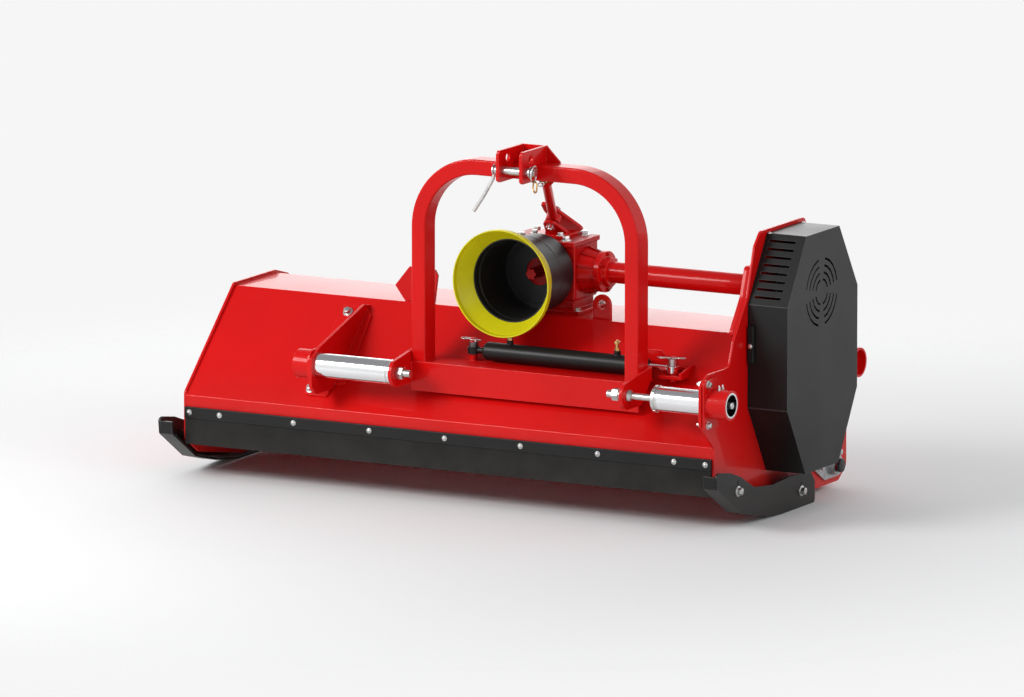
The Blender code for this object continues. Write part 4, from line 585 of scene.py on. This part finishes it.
rise = ARCH_TOP - CORNER - BEAM_TOP - 0.0003
end = push(arch, end, Z_AXIS * rise, keep=True)
end = bend(arch, end, spot(CARRIAGE_X - ARCH_HALF + CORNER, 0, ARCH_TOP - CORNER))
end = push(arch, end, X_AXIS * (2 * ARCH_HALF - 2 * CORNER))
end = bend(arch, end, spot(CARRIAGE_X + ARCH_HALF - CORNER, 0, ARCH_TOP - CORNER))
push(arch, end, -Z_AXIS * rise)
low, high = (Vector([pick(v.co[k] for v in arch.verts) for k in range(3)]) for pick in (min, max))
stand_in("hitch_arch", "bent", arch, red_enamel, 40)

# %% [markdown]
# ### A hexagon bolt
#
# A bolt head is a six-sided cylinder with its top rim bevelled, on a flat washer. A thread's end is a round
# cylinder with a bevelled tip. Heads of the same size differ only in place and direction, so one function adds
# any number of them to a bmesh. Other small turned parts are stacks of such cylinders on one axis.

# %% Bolt heads, nuts and washers
def add_cylinder(bm, radius, low, high, matrix, segments, bevel=0.0):
    """A closed cylinder from low to high along the matrix's +Z, with its top rim bevelled."""
    made = bmesh.ops.create_cone(
        bm, cap_ends=True, segments=segments, radius1=radius, radius2=radius, depth=high - low,
        matrix=Matrix.Translation((0, 0, (low + high) / 2)),
    )["verts"]
    if bevel:
        rim = [e for e in {e for v in made for e in v.link_edges} if all(abs(v.co.z - high) < 1e-6 for v in e.verts)]
        made = [*made, *round_edges(bm, rim, bevel, clamp=True)["verts"]]
    bmesh.ops.transform(bm, matrix=matrix, verts=list({v for v in made if v.is_valid}))


def add_stacks(bm, stands, *rows):
    """Cylinders on each of some axes. A row is a radius, low, high, number of sides and top bevel."""
    for stand in stands:
        for radius, low, high, *rest in rows:
            add_cylinder(bm, radius, low, high, stand, *rest)


def stacks(name, stands, finish, *rows, **settings):
    """The same cylinders on each of some axes, as one piece."""
    bm = bmesh.new()
    add_stacks(bm, stands, *rows)
    finish_piece(name, bm, finish, **settings)


def add_bolt(bm, place, direction, across, height=None, washer=True, thread=0.0, turn=0.0):
    """A hexagon head on a washer, and the thread that stands out of it."""
    matrix = facing(direction, place) @ Matrix.Rotation(turn, 4, "Z")
    height = height or across * 0.62
    base = across * 0.12 if washer else 0.0
    if washer:
        add_cylinder(bm, across * 0.82, 0.0, base, matrix, 20, across * 0.03)
    add_cylinder(bm, across * 0.577, base, base + height, matrix, 6, across * 0.07)
    if thread:
        add_cylinder(bm, across * 0.3, base + height * 0.8, base + height + thread, matrix, 12, across * 0.05)


def bolts(name, places, direction, across, **settings):
    """A set of equal bolts as one piece."""
    bm = bmesh.new()
    for number, place in enumerate(places):
        add_bolt(bm, place, direction, across, turn=0.35 * number, **settings)
    finish_piece(name, bm, zinc_plate)


# %% [markdown]
# ## The flap's fasteners
#
# Nine dome-headed bolts press the clamp strip on to the rubber. Their spacing is uneven at the ends, where
# two sit close together beside the skids. A dome is a flattened sphere, half sunk in a thin washer.

# %% Nine domes along the strip
def domes(name, places, direction, radius, height, body="machine"):
    """A set of flattened domes on thin washers as one piece."""
    bm = bmesh.new()
    for place in places:
        matrix = facing(direction, place)
        add_cylinder(bm, radius * 1.35, 0.0, 0.001, matrix, 24, 0.0003)
        made = bmesh.ops.create_uvsphere(bm, u_segments=20, v_segments=12, radius=radius)["verts"]
        bmesh.ops.scale(bm, verts=made, vec=(1.0, 1.0, height / radius))
        bmesh.ops.transform(bm, matrix=matrix @ Matrix.Translation((0, 0, 0.0006)), verts=made)
    finish_piece(name, bm, zinc_plate, body)


FLAP_BOLTS_X = (-0.924, -0.814, -0.545, -0.271, 0.0, 0.271, 0.545, 0.814, 0.924)
FLAP_BOLT_Z = 0.213
strip_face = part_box("flap_strip")[0].y
places = [Vector((x + FROM_MIDDLE_X, strip_face, FLAP_BOLT_Z)) for x in FLAP_BOLTS_X]
domes("flap_bolts", places, -Y_AXIS, 0.0066, 0.0046)
print("flap bolts:", len(places))

# %% [markdown]
# ## Skid fasteners
#
# Each skid hangs on two bolts that pass through spacers into the end plate. A slot above each bolt lets the
# skid be set higher or lower. Each slot is drawn as a thin dark matte sheet on the outer face: painted shade in place
# of the slot's hollow.

# %% Skid bolts, and painted shade for their setting slots
SKID_BOLTS = ((0.065, 0.124), (0.496, 0.052))
for side, node in ((-1, "skid_left"), (1, "skid_right")):
    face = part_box(node)[side > 0].x
    bolts(f"{node}_bolts", on_face(face, SKID_BOLTS), X_AXIS * side, 0.021)
    # Painted shade: a thin dark sheet on the face stands for the shaded hollow of each slot.
    slot_shades = bmesh.new()
    for y, z in SKID_BOLTS:
        reach = 0.026 if z > 0.1 else 0.018
        add_block(slot_shades, (0.0008, 0.0105, reach), (face, y + FROM_FLANGE_Y, z + 0.01 + reach / 2))
    upright = [e for e in slot_shades.edges if abs((e.verts[0].co - e.verts[1].co).normalized().x) > 0.9]
    round_edges(slot_shades, upright, 0.005, segments=4)
    finish_piece(f"{node}_slots", slot_shades, belt_rubber, "machine", "black_paint")
print("skid fasteners placed")

# %% [markdown]
# ## Guide bush fasteners
#
# The right bush is held by bolts above and below its bore, with nuts on the inner side, and a spare bush at
# the rear is held the same way. The left support is bolted through its foot to the front panel, square to
# the panel's slope, so those bolts point along the panel's normal. The rear door swings close past the inner
# side of the spare bush, so its bolts end there in flat heads.

# %% Bolts of the bushes and the left support
BUSH_BOLT_SHIFT, BUSH_BOLT_REACH, SUPPORT_FOOT = 0.024, 0.064, 0.0085


def above_and_below(x, line, shift):
    """The two places of a bush's bolts, on a face at x."""
    return [spot(x, line[0] + shift, line[1] + dz) for dz in (-BUSH_BOLT_REACH, BUSH_BOLT_REACH)]


right_bush, rear_bush = (GUIDE, -BUSH_BOLT_SHIFT), (REAR_BUSH, BUSH_BOLT_SHIFT)
bolts("bush_right_bolts", above_and_below(FLANGE_FACE, *right_bush), X_AXIS, 0.016, height=0.009)
bolts("bush_rear_bolts", above_and_below(FLANGE_FACE, *rear_bush), X_AXIS, 0.016, height=0.009)
inner = above_and_below(PLATE_INNER, *right_bush)
bolts("bush_right_nuts", inner, -X_AXIS, 0.016, height=0.012, thread=0.008)
domes("bush_rear_flat_heads", above_and_below(PLATE_INNER, *rear_bush), -X_AXIS, 0.008, 0.0022)
UP_PANEL, OUT_PANEL = Vector((0, 0.725, 0.68875)), Vector((0, -0.68875, 0.725))


def on_panel(x, up, out):
    """A point of the front panel: how far up its slope from the fold, and how far off it."""
    return spot(x, 0.0, 0.266) + UP_PANEL * up + OUT_PANEL * out


places = [on_panel(-0.51, 0.066, SUPPORT_FOOT), on_panel(-0.5, 0.374, SUPPORT_FOOT)]
bolts("support_bolts", places, OUT_PANEL, 0.02)
stands = [facing(Z_AXIS, spot(0.99, GUIDE[0] + dy, GUIDE[1] + 0.0455)) for dy in (-0.01, 0.012)]
stacks("bush_grease_nipples", stands, zinc_plate, (0.005, 0.0, 0.008, 6), (0.003, 0.008, 0.016, 16, 0.001))
print("guide fasteners placed")

# %% [markdown]
# A slotted ring nut sits near the right tube's end and is turned with a key. It is a plain turned ring with
# twelve low blocks round its rim, and the key grips in the gaps between them.

# %% Slotted ring nut
ring_nut = turned_rings(X_AXIS, guide_line, (0.0403, 0.0413, 0.7635, 0.7745), steps=72)
add_blocks_round(ring_nut, (0.01, 0.01, 0.0014), (0.7695, 0, 0.0416), guide_line, "X", range(0, 360, 30))
finish_piece("guide_ring_nut", ring_nut, zinc_plate, smooth=30)
print("ring nut turned")

# %% [markdown]
# ## Gearbox details
#
# The housing is cast, with four bolts at the corners of its cover, four through its foot, and a ring of small
# ones round the flange of its output.

# %% Cover, foot and flange bolts
def on_circle(radius, degrees, centre=DRIVE):
    """The y and z of a point on an upright circle."""
    angle = math.radians(degrees)
    return centre[0] + radius * math.cos(angle), centre[1] + radius * math.sin(angle)


cover_z, foot_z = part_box("gearbox")[1].z, 0.582
places = [spot(x, y, cover_z) for x, y in ((0.061, 0.388), (0.219, 0.388), (0.05, 0.51), (0.219, 0.51))]
bolts("gearbox_cover_bolts", places, Z_AXIS, 0.02)
places = [spot(GEARBOX_X + dx, y, foot_z) for dx in (-0.129, 0.129) for y in (0.374, 0.536)]
bolts("gearbox_foot_bolts", places, Z_AXIS, 0.015)
flange_bolts = bmesh.new()
for k in range(6):
    place = spot(0.331, *on_circle(0.057, 60 * k + 30))
    add_bolt(flange_bolts, place, X_AXIS, 0.012, washer=False, turn=0.4 * k)
finish_piece("output_flange_bolts", flange_bolts, cast_enamel, "machine", "red_paint")
print("gearbox bolted")

# %% [markdown]
# Ribs strengthen the output neck. Each is a thin wedge: a block whose far end is pulled in, set round the neck.

# %% Ribs round the output neck
ribs = bmesh.new()
neck = Matrix.Translation(spot(0.286, *DRIVE))
lean = Matrix.Translation((0, 0, 0.067)) @ Matrix.Rotation(math.radians(13), 4, "Y")
for k in range(10):
    made = add_block(ribs, (0.05, 0.006, 0.012))
    outer = [v for v in made if v.co.z > 0 and v.co.x > 0]
    bmesh.ops.translate(ribs, verts=outer, vec=(0, 0, -0.005))
    bmesh.ops.transform(ribs, matrix=neck @ Matrix.Rotation(math.radians(36 * k), 4, "X") @ lean, verts=made)
round_edges(ribs, ribs.edges[:], 0.001, segments=1)
finish_piece("output_neck_ribs", ribs, cast_enamel, "machine", "red_paint")
print("ribs set round the neck")

# %% [markdown]
# A brass level plug sits low on the left side, and two round caps close the bearings on the left and at the
# rear, each with six small bolts.

# %% Level plug and caps of the gearbox
side = GEARBOX_X - GEARBOX_HALF
stacks("gearbox_plug", [facing(-X_AXIS, spot(side, 0.44, 0.632))], brass, (0.012, 0.0, 0.007, 6, 0.001))
caps = bmesh.new()
add_cylinder(caps, 0.06, 0.0, 0.01, facing(Y_AXIS, spot(GEARBOX_X, 0.53, DRIVE[1])), 40, 0.002)
add_cylinder(caps, 0.058, 0.0, 0.01, facing(-X_AXIS, spot(side, *DRIVE)), 40, 0.002)
for k in range(6):
    add_bolt(caps, spot(GEARBOX_X - 0.13, *on_circle(0.048, 60 * k)), -X_AXIS, 0.01, washer=False)
    dx, z = on_circle(0.05, 60 * k, (0, DRIVE[1]))
    add_bolt(caps, spot(GEARBOX_X + dx, 0.54, z), Y_AXIS, 0.01, washer=False)
finish_piece("gearbox_caps", caps, cast_enamel, "machine", "red_paint")
print("gearbox dressed")

# %% [markdown]
# ## Weld beads
#
# A weld is a row of overlapping ripples. We draw one by extruding a small circle along its path a ripple at a
# time, swelling and shrinking it, so that the light catches each ripple. Beads lie in the corner between two
# plates and are painted over.

# %% A rippled bead
RIPPLE = 0.0055


def add_bead(bm, start, end, radius):
    """A rippled weld bead from start to end, half sunk in the corner that it fills."""
    steps = max(2, int((end - start).length / RIPPLE)) * 2
    circle = bmesh.ops.create_circle(bm, cap_ends=True, radius=radius * 0.7, segments=8)["verts"]
    bmesh.ops.transform(bm, matrix=facing(end - start, start), verts=circle)
    face = circle[0].link_faces[0]
    forward = (end - start) / steps
    for step in range(steps):
        grown = bmesh.ops.extrude_face_region(bm, geom=[face])["geom"]
        verts = [item for item in grown if isinstance(item, bmesh.types.BMVert)]
        if step:
            bmesh.ops.delete(bm, geom=[face], context="FACES_ONLY")
        bmesh.ops.translate(bm, verts=verts, vec=forward)
        size = 1.42 if step % 2 == 0 else 0.7
        away = Matrix.Translation(-start - forward * (step + 1))
        bmesh.ops.scale(bm, verts=verts, vec=(size, size, size), space=away)
        face = first_face(grown)


def beads(name, lines, radius=0.003, body="machine"):
    """A set of painted beads as one piece."""
    bm = bmesh.new()
    for start, end in lines:
        add_bead(bm, start, end, radius)
    finish_piece(name, bm, red_enamel, body, "red_paint", 80)
    print(name, len(lines))


# %% [markdown]
# Each bead needs only its two ends, taken from where the plates meet.

# %% Where the welds are
left_leg, right_leg = CARRIAGE_X - ARCH_HALF, CARRIAGE_X + ARCH_HALF
arch_welds = [(spot(x, 0.056, BEAM_TOP), spot(x, 0.121, BEAM_TOP)) for x in (left_leg + TUBE_X, right_leg - TUBE_X)]
for x in (left_leg, right_leg - TUBE_X):
    arch_welds.append((spot(x + 0.002, 0.123, BEAM_TOP), spot(x + 0.048, 0.123, BEAM_TOP)))
beads("arch_welds", arch_welds, body="carriage")
ear_welds = [(spot(x, 0.053, 0.371), spot(x, 0.053, 0.436)) for x in (left_leg, right_leg)]
beads("ear_welds", ear_welds, 0.0028, "carriage")
eye_welds = [(spot(0.341, y, HOOD_TOP), spot(0.403, y, HOOD_TOP)) for y in (0.339, 0.351)]
beads("lifting_eye_welds", eye_welds)
plate_welds = [(spot(x, 0.33, HOOD_TOP), spot(x, 0.57, HOOD_TOP)) for x in (-PLATE_INNER, PLATE_INNER)]
plate_welds.append((spot(-PLATE_INNER, 0.012, 0.277), spot(-PLATE_INNER, 0.312, 0.562)))
plate_welds.append((spot(PLATE_INNER, 0.15, 0.4085), spot(PLATE_INNER, 0.312, 0.562)))
beads("end_plate_welds", plate_welds, 0.0026)
gusset_welds = [(on_panel(-0.4465, 0.06, SUPPORT_FOOT), on_panel(-0.4465, 0.39, SUPPORT_FOOT))]
beads("gusset_welds", gusset_welds, 0.0026)

# %% [markdown]
# ### A doubling plate round the cross tube
#
# Behind the belt cover's plate a second, thicker plate carries the end of the cross tube. Its outline and the
# hole for the tube are two loops of edges: `triangle_fill` fills the area between them, and the sheet is then
# pushed out to its thickness. The tube is welded in with one round bead, a small circle that is spun about
# the tube's axis.

# %% The doubling plate and its round weld
DOUBLER_INNER, DOUBLER_OUTER = 0.92, 0.9415
doubler = bmesh.new()
outline = [(0.19, 0.5702), (0.149, 0.6), (0.224, 0.706), (0.254, 0.798), (0.6, 0.798), (0.6, 0.5702)]
doubler.faces.new([doubler.verts.new(spot(DOUBLER_INNER, y, z)) for y, z in outline])
bmesh.ops.bevel(doubler, geom=doubler.verts[:], offset=0.013, segments=4, profile=0.5, affect="VERTICES")
bmesh.ops.delete(doubler, geom=doubler.faces[:], context="FACES_ONLY")
tube_end = spot(DOUBLER_INNER, *DRIVE)
bmesh.ops.create_circle(doubler, cap_ends=False, segments=48, radius=0.0348, matrix=facing(X_AXIS, tube_end))
bmesh.ops.triangle_fill(doubler, edges=doubler.edges[:], use_beauty=True, normal=X_AXIS)
grown = bmesh.ops.extrude_face_region(doubler, geom=doubler.faces[:], use_keep_orig=True)["geom"]
moved = [item for item in grown if isinstance(item, bmesh.types.BMVert)]
bmesh.ops.translate(doubler, verts=moved, vec=X_AXIS * (DOUBLER_OUTER - DOUBLER_INNER))
bmesh.ops.recalc_face_normals(doubler, faces=doubler.faces)
# The rounded rims take the lighter red, a painted highlight along the plate's edge.
round_edges(doubler, sharp_edges(doubler, 60), 0.0012, material=1)
finish_piece("drive_doubler", doubler, [red_enamel, enamel_rim_highlight], "machine", SLOTS["end_plate_right"])
bead = bmesh.new()
ring_start = facing(Y_AXIS, tube_end + Z_AXIS * 0.0352)
bmesh.ops.create_circle(bead, cap_ends=False, segments=10, radius=0.0032, matrix=ring_start)
bmesh.ops.spin(
    bead, geom=bead.verts[:] + bead.edges[:], cent=tube_end, axis=X_AXIS, angle=math.tau, steps=72, use_merge=True)
finish_piece("cross_tube_weld", bead, red_enamel, "machine", SLOTS["end_plate_right"])
print("doubling plate welded")

# %% [markdown]
# ## Cylinder fittings
#
# Each port of the side-shift cylinder holds a brass fitting with a hexagon, a collar and a tapered top that a
# hose would screw on to. The cylinder's end has a gland ring, and a sleeve stands on each of its two pins.

# %% Brass fittings, gland and pin sleeves
CYLINDER_Y, CYLINDER_Z, BASE_PIN_X, ROD_PIN_X = 0.158, 0.47, 0.013, 0.722
stacks(
    "cylinder_fittings", [facing(Z_AXIS, spot(x, CYLINDER_Y, 0.512)) for x in (0.143, 0.525)], brass,
    (0.0095, 0.0, 0.009, 6, 0.0008), (0.0062, 0.009, 0.022, 24), (0.0105, 0.022, 0.03, 24, 0.0014),
    (0.005, 0.03, 0.034, 20, 0.001), body="carriage")
gland = bmesh.new()
section = [(0.0116, 0.6282), (0.025, 0.6282), (0.025, 0.6325), (0.015, 0.6345), (0.0116, 0.6345)]
turned(gland, section, X_AXIS, spot(0, CYLINDER_Y, CYLINDER_Z))
finish_piece("cylinder_gland_ring", gland, dark_steel, "carriage", "black_paint", 30)
rod_pin, base_pin = spot(ROD_PIN_X, CYLINDER_Y, 0), spot(BASE_PIN_X, CYLINDER_Y, 0)
sleeves = turned_rings(Z_AXIS, rod_pin, (0.0127, 0.015, 0.4818, 0.501), (0.0127, 0.0165, 0.502, 0.5038))
finish_piece("rod_pin_sleeve", sleeves, zinc_plate, smooth=30)
sleeve = turned_rings(Z_AXIS, base_pin, (0.0127, 0.0146, 0.4818, 0.4965))
finish_piece("base_pin_sleeve", sleeve, dark_steel, "carriage", "black_paint", 30)
print("cylinder fitted")

# %% [markdown]
# ### Spring clips
#
# Each pin is kept by an R-clip, one length of wire: a straight leg through the pin, and a wavy leg that springs
# over it. A curve with a round bevel draws it from a few points, and a mesh is made from that curve.

# %% R-clips from a bent wire
def wire(name, points, radius, finish, body, cyclic=False):
    """A bent wire as a mesh piece."""
    curve = bpy.data.curves.new(name, "CURVE")
    curve.dimensions = "3D"
    curve.bevel_depth = radius
    curve.bevel_resolution = 3
    curve.use_fill_caps = True
    curve.resolution_u = 6
    line = curve.splines.new("BEZIER")
    line.bezier_points.add(len(points) - 1)
    for handle, place in zip(line.bezier_points, points):
        handle.co = place
        handle.handle_left_type = handle.handle_right_type = "AUTO"
    line.use_cyclic_u = cyclic
    drawn = add_object(name, curve)
    bpy.context.view_layer.update()
    bm = bmesh.new()
    bm.from_mesh(drawn.to_mesh())
    drawn.to_mesh_clear()
    bpy.data.objects.remove(drawn)
    finish_piece(name, bm, finish, body, smooth=60)


def r_clip(name, place, along, across, body, size):
    """A clip whose straight leg lies along a direction through a place, and whose loops lie across."""
    u, v = Vector(along).normalized(), Vector(across).normalized()
    shape = [
        (0.62, 0.0), (0.0, 0.0), (-0.4, 0.0), (-0.58, 0.04), (-0.7, 0.2), (-0.58, 0.36), (-0.4, 0.34),
        (-0.26, 0.2), (-0.1, 0.17), (0.06, 0.25), (0.22, 0.17), (0.4, 0.2), (0.6, 0.36),
    ]
    wire(name, [place + u * (a * size) + v * (b * size) for a, b in shape], 0.002, zinc_plate, body)


r_clip("base_pin_clip", base_pin + Z_AXIS * 0.5045, (0.92, -0.4, 0), (-0.4, -0.92, 0), "carriage", 0.06)
r_clip("rod_pin_clip", rod_pin + Z_AXIS * 0.5065, (0.97, 0.24, 0), (0.24, -0.97, 0.1), "machine", 0.066)
print("spring clips bent")

# %% [markdown]
# ## The top-link pin's clip and chain
#
# The pin's free end carries a sprung oval ring, and a drop ring and a link keep it with the machine. All of
# them are bent wire, so each is a closed curve with a round section.

# %% Spring ring and drop ring at the mast
def wire_ring(name, centre, across, up, half_width, half_height, radius, finish, lean=0.0):
    """An oval of wire that is carried by the mast, leaning a little so that it looks hung."""
    across, up = Vector(across).normalized(), Vector(up).normalized()
    points = []
    for k in range(14):
        angle = math.tau * k / 14
        point = centre + across * (half_width * math.cos(angle)) + up * (half_height * math.sin(angle))
        points.append(point + X_AXIS * (lean * math.sin(angle)))
    wire(name, points, radius, finish, "carriage", cyclic=True)


TOP_PIN = (-0.018, 1.085)
end = spot(0.3225, *TOP_PIN)
wire_ring("top_pin_ring", end - Z_AXIS * 0.004, Y_AXIS, Z_AXIS, 0.0185, 0.0245, 0.0029, zinc_plate, 0.002)
below, beside = end + Vector((0.006, -0.003, -0.044)), end + Vector((0.019, 0.012, -0.036))
wire_ring("top_pin_drop_ring", below, (0.8, -0.6, 0), Z_AXIS, 0.014, 0.017, 0.0027, brass)
wire_ring("top_pin_link", beside, (0.7, 0.7, 0.1), (0.2, 0.1, 1.0), 0.01, 0.006, 0.0022, zinc_plate)
rings = (0.0128, 0.0185, 0.3105, 0.314), (0.0128, 0.0175, 0.182, 0.185)
finish_piece("top_pin_washers", turned_rings(X_AXIS, spot(0, *TOP_PIN), *rings), zinc_plate, "carriage", smooth=30)
print("top pin secured")

# %% [markdown]
# ## Belt cover details
#
# The folded cover has a turned-out flange screwed to the end plate, a butt seam near its foot, and a rubber
# strap with a screw on its front edge. The seam is a shallow lip: one sheet ends over the other.

# %% Seam, flange screws and strap screw
low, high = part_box("belt_guard")
seam = bmesh.new()
for z, height, out in ((0.36, 0.0012, 0.0004), (0.3575, 0.003, 0.001)):
    add_block(seam, (high.x - low.x - 0.004, 0.0016 + out, height), ((low.x + high.x) / 2, low.y, z))
round_edges(seam, seam.edges[:], 0.0003, segments=1)
# The lip is in the lighter rim grey, a painted highlight along the seam.
finish_piece("guard_seam", seam, powder_rim_highlight, "machine", "black_paint")
places = [Vector((low.x + 0.012, y + FROM_FLANGE_Y, 0.892)) for y in (0.347, 0.574)]
domes("guard_screws", places, Z_AXIS, 0.0055, 0.0036)
low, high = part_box("guard_latch")
domes("strap_screw", [Vector(((low.x + high.x) / 2, low.y, 0.555))], -Y_AXIS, 0.006, 0.0042)
print("belt cover screwed on")

# %% [markdown]
# ## Roller arms
#
# Galvanised plates hold the roller's bearings. Each has bolts into the end plate and a black dust cap over
# the shaft's end.

# %% Bolts and dust caps
ARM_BOLTS, ARM_PLATE, ROLLER = ((0.676, 0.121), (0.712, 0.086), (0.834, 0.116)), 0.018, (0.8, 0.08)
for side, node in ((-1, "roller_arm_left"), (1, "roller_arm_right")):
    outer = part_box(node)[side > 0].x
    bolts(f"{node}_bolts", on_face(outer - side * ARM_PLATE, ARM_BOLTS), X_AXIS * side, 0.017)
    tips = [facing(X_AXIS * side, place) for place in on_face(outer + side * 0.0045, [ROLLER])]
    stacks(f"{node}_cap", tips, black_cap, (0.022, 0.0, 0.01, 28, 0.003), body="roller", slot="black_rubber")
print("roller arms bolted")

# %% [markdown]
# ## Rear door
#
# The door hangs on a rod and carries a row of rivets along its hinge leaf, and rubber buffers so that it does
# not rattle. They sit on the door's own outer face, which a ray finds: it starts outside and runs at the door.

# %% Rivets and buffers on the door
door_body = body_of(NODES["rear_door"])[0]
hinge = spot(0, 0.758, 0.462)
lean = math.radians(14)
DOWN_DOOR = Vector((0, math.sin(lean), -math.cos(lean)))
OFF_DOOR = Vector((0, math.cos(lean), math.sin(lean)))
door_surface = bmesh.new()
door_surface.from_mesh(bpy.data.objects["rear_door_dressed"].data)
door_tree = BVHTree.FromBMesh(door_surface)
door_surface.free()


def on_door(x, down):
    """A point on the door's outer face, this far below its hinge."""
    return door_tree.ray_cast(hinge + X_AXIS * x + DOWN_DOOR * down + OFF_DOOR * 0.2, -OFF_DOOR)[0]


places = [on_door(-0.9 + 0.15 * k, 0.045) for k in range(13)]
domes("door_rivets", places, OFF_DOOR, 0.0052, 0.0032, door_body)
stands = [facing(OFF_DOOR, on_door(x, 0.215)) for x in (-0.88, 0.88)]
stacks("door_buffers", stands, black_cap, (0.014, 0.0, 0.012, 28, 0.003), body=door_body, slot="black_rubber")
print("door riveted")

# %% [markdown]
# ## Rotor bearings
#
# The rotor's bearings are flange housings, each with four bolts and a grease nipple.

# %% Bolts of the rotor bearings
bearing_bolts = bmesh.new()
for side in (-1, 1):
    for dy in (-0.045, 0.045):
        for dz in (-0.045, 0.045):
            place = spot(side * FLANGE_FACE, ROTOR[0] + dy, ROTOR[1] + dz)
            add_bolt(bearing_bolts, place, X_AXIS * side, 0.013, height=0.007, turn=0.3)
    top = facing(Z_AXIS, spot(side * 0.968, ROTOR[0], ROTOR[1] + 0.0445))
    add_stacks(bearing_bolts, [top], (0.004, 0.0, 0.006, 6), (0.0026, 0.006, 0.011, 16, 0.0008))
finish_piece("rotor_bearing_bolts", bearing_bolts, zinc_plate)
print("rotor bearings bolted")

# %% [markdown]
# ## Stay fasteners and mast details
#
# The stay's bracket is bolted to the gearbox cover. A cross bolt holds the stay's foot in the bracket, and a
# washer and a nut close the stud at its head. Both lie square to the stay's inclined plane.

# %% Bolts of the stay bracket, cross bolt and stud washer
places = [spot(GEARBOX_X + dx, 0.412, 0.81) for dx in (-0.046, 0.046)]
bolts("stay_bracket_bolts", places, Z_AXIS, 0.016, height=0.009)
STAY_FOOT, STAY_HEAD = spot(GEARBOX_X, 0.45, 0.856), spot(CARRIAGE_X, 0.19, 1.04)
swing_axis = Vector((0, STAY_HEAD.z - STAY_FOOT.z, STAY_FOOT.y - STAY_HEAD.y)).normalized()
head_side, nut_side = (facing(way, STAY_FOOT + way * 0.0258) for way in (-swing_axis, swing_axis))
cross_bolt = bmesh.new()
add_stacks(cross_bolt, [head_side, nut_side], (0.0142, 0.0, 0.0125, 6, 0.0016))
add_cylinder(cross_bolt, 0.0084, 0.0, 0.0165, head_side, 24, 0.0012)
finish_piece("stay_cross_bolt", cross_bolt, zinc_plate)
nut = bmesh.new()
add_cylinder(nut, 0.0225, 0.0, 0.0052, facing(-swing_axis, STAY_HEAD - swing_axis * 0.0089), 48, 0.0008)
add_cylinder(nut, 0.012, 0.0, 0.009, facing(-swing_axis, STAY_HEAD - swing_axis * 0.014), 6, 0.001)
finish_piece("stay_stud_washer", nut, brass, "carriage")
print("stay fastened")

# %% [markdown]
# ## The studio
#
# The machine stands on a pale floor that fades away round it, so no horizon cuts the picture. The backdrop
# is white where the camera and the reflections look level, and it darkens overhead, as a studio's ceiling
# does: that keeps the red deep where a sheet faces up, and lets the hood's flat top shine.

# %% Floor
disc = bmesh.new()
bmesh.ops.create_circle(disc, cap_ends=True, cap_tris=True, segments=96, radius=4.2)
floor = add_object("studio_floor", bpy.data.meshes.new("studio_floor"))
disc.to_mesh(floor.data)
disc.free()
floor_paint = bpy.data.materials.new("studio_floor")
floor_paint.use_nodes = True
tree = floor_paint.node_tree
paint = tree.nodes["Principled BSDF"]
set_inputs(tree, paint, {"Base Color": (0.86, 0.86, 0.86, 1.0), "Roughness": 0.8, "Specular IOR Level": 0.1})
place = add_node(tree, "TexCoord").outputs["Object"]
reach = add_node(tree, "VectorMath", {0: place}, operation="LENGTH").outputs["Value"]
fade = {"From Min": 1.5, "From Max": 3.6, "Value": reach}
fade = add_node(tree, "MapRange", fade, interpolation_type="SMOOTHSTEP")
blend = add_node(tree, "MixShader", {"Fac": fade, 1: paint, 2: add_node(tree, "BsdfTransparent")})
set_inputs(tree, tree.nodes["Material Output"], {"Surface": blend})
floor.data.materials.append(floor_paint)
print("floor laid")

# %% [markdown]
# A ramp over the height of each ray paints the backdrop. Light Path gives it to camera, glossy and transmission
# rays, while the light that fills the shadows is a plain one.

# %% World
world = bpy.data.worlds.new("studio")
scene.world = world
world.use_nodes = True
tree = world.node_tree
tree.nodes.clear()
soft = add_node(tree, "Background", {"Color": (0.96, 0.98, 1.0, 1.0), "Strength": 0.5})
place = add_node(tree, "TexCoord").outputs["Generated"]
height = add_node(tree, "SeparateXYZ", {"Vector": place}).outputs["Z"]
ceiling = add_node(tree, "ValToRGB", {"Fac": height})
set_ramp(ceiling, (0.0, (0.92, 0.92, 0.92)), (0.32, (1.0, 1.0, 1.0)), (0.8, (0.3, 0.3, 0.31)))
backdrop = add_node(tree, "Background", {"Color": ceiling})
path = add_node(tree, "LightPath").outputs
seen = add_node(tree, "Math", {0: path["Is Camera Ray"], 1: path["Is Glossy Ray"]}, use_clamp=True)
seen = add_node(tree, "Math", {0: seen, 1: path["Is Transmission Ray"]}, use_clamp=True)
add_node(tree, "OutputWorld", {"Surface": add_node(tree, "MixShader", {"Fac": seen, 1: soft, 2: backdrop})})
print("world painted")

# %% [markdown]
# Three softboxes light the machine: the main one high at the front left, a weaker one at the right, and a wide
# one behind that gives the hood's top its shine.

# %% Lamps
def softbox(name, place, target, size, power):
    """A rectangular lamp that is turned towards a point and that the camera doesn't see."""
    lamp_data = bpy.data.lights.new(name, "AREA")
    lamp_data.shape = "RECTANGLE"
    lamp_data.size, lamp_data.size_y = size
    lamp_data.energy = power
    lamp = add_object(name, lamp_data)
    lamp.visible_camera = False
    stand_and_aim(lamp, place, target)


softbox("key_light", (-3.2, -4.4, 3.4), (-0.3, 0, 0.4), (2.6, 2.0), 235.0)
softbox("side_light", (4.6, -1.2, 2.6), (0, 0, 0.5), (1.6, 2.4), 45.0)
softbox("rear_light", (-2.2, 3.6, 1.75), (0, 0, 0.6), (6.4, 2.6), 96.0)
scene.view_settings.view_transform = "Standard"
print("studio lit")
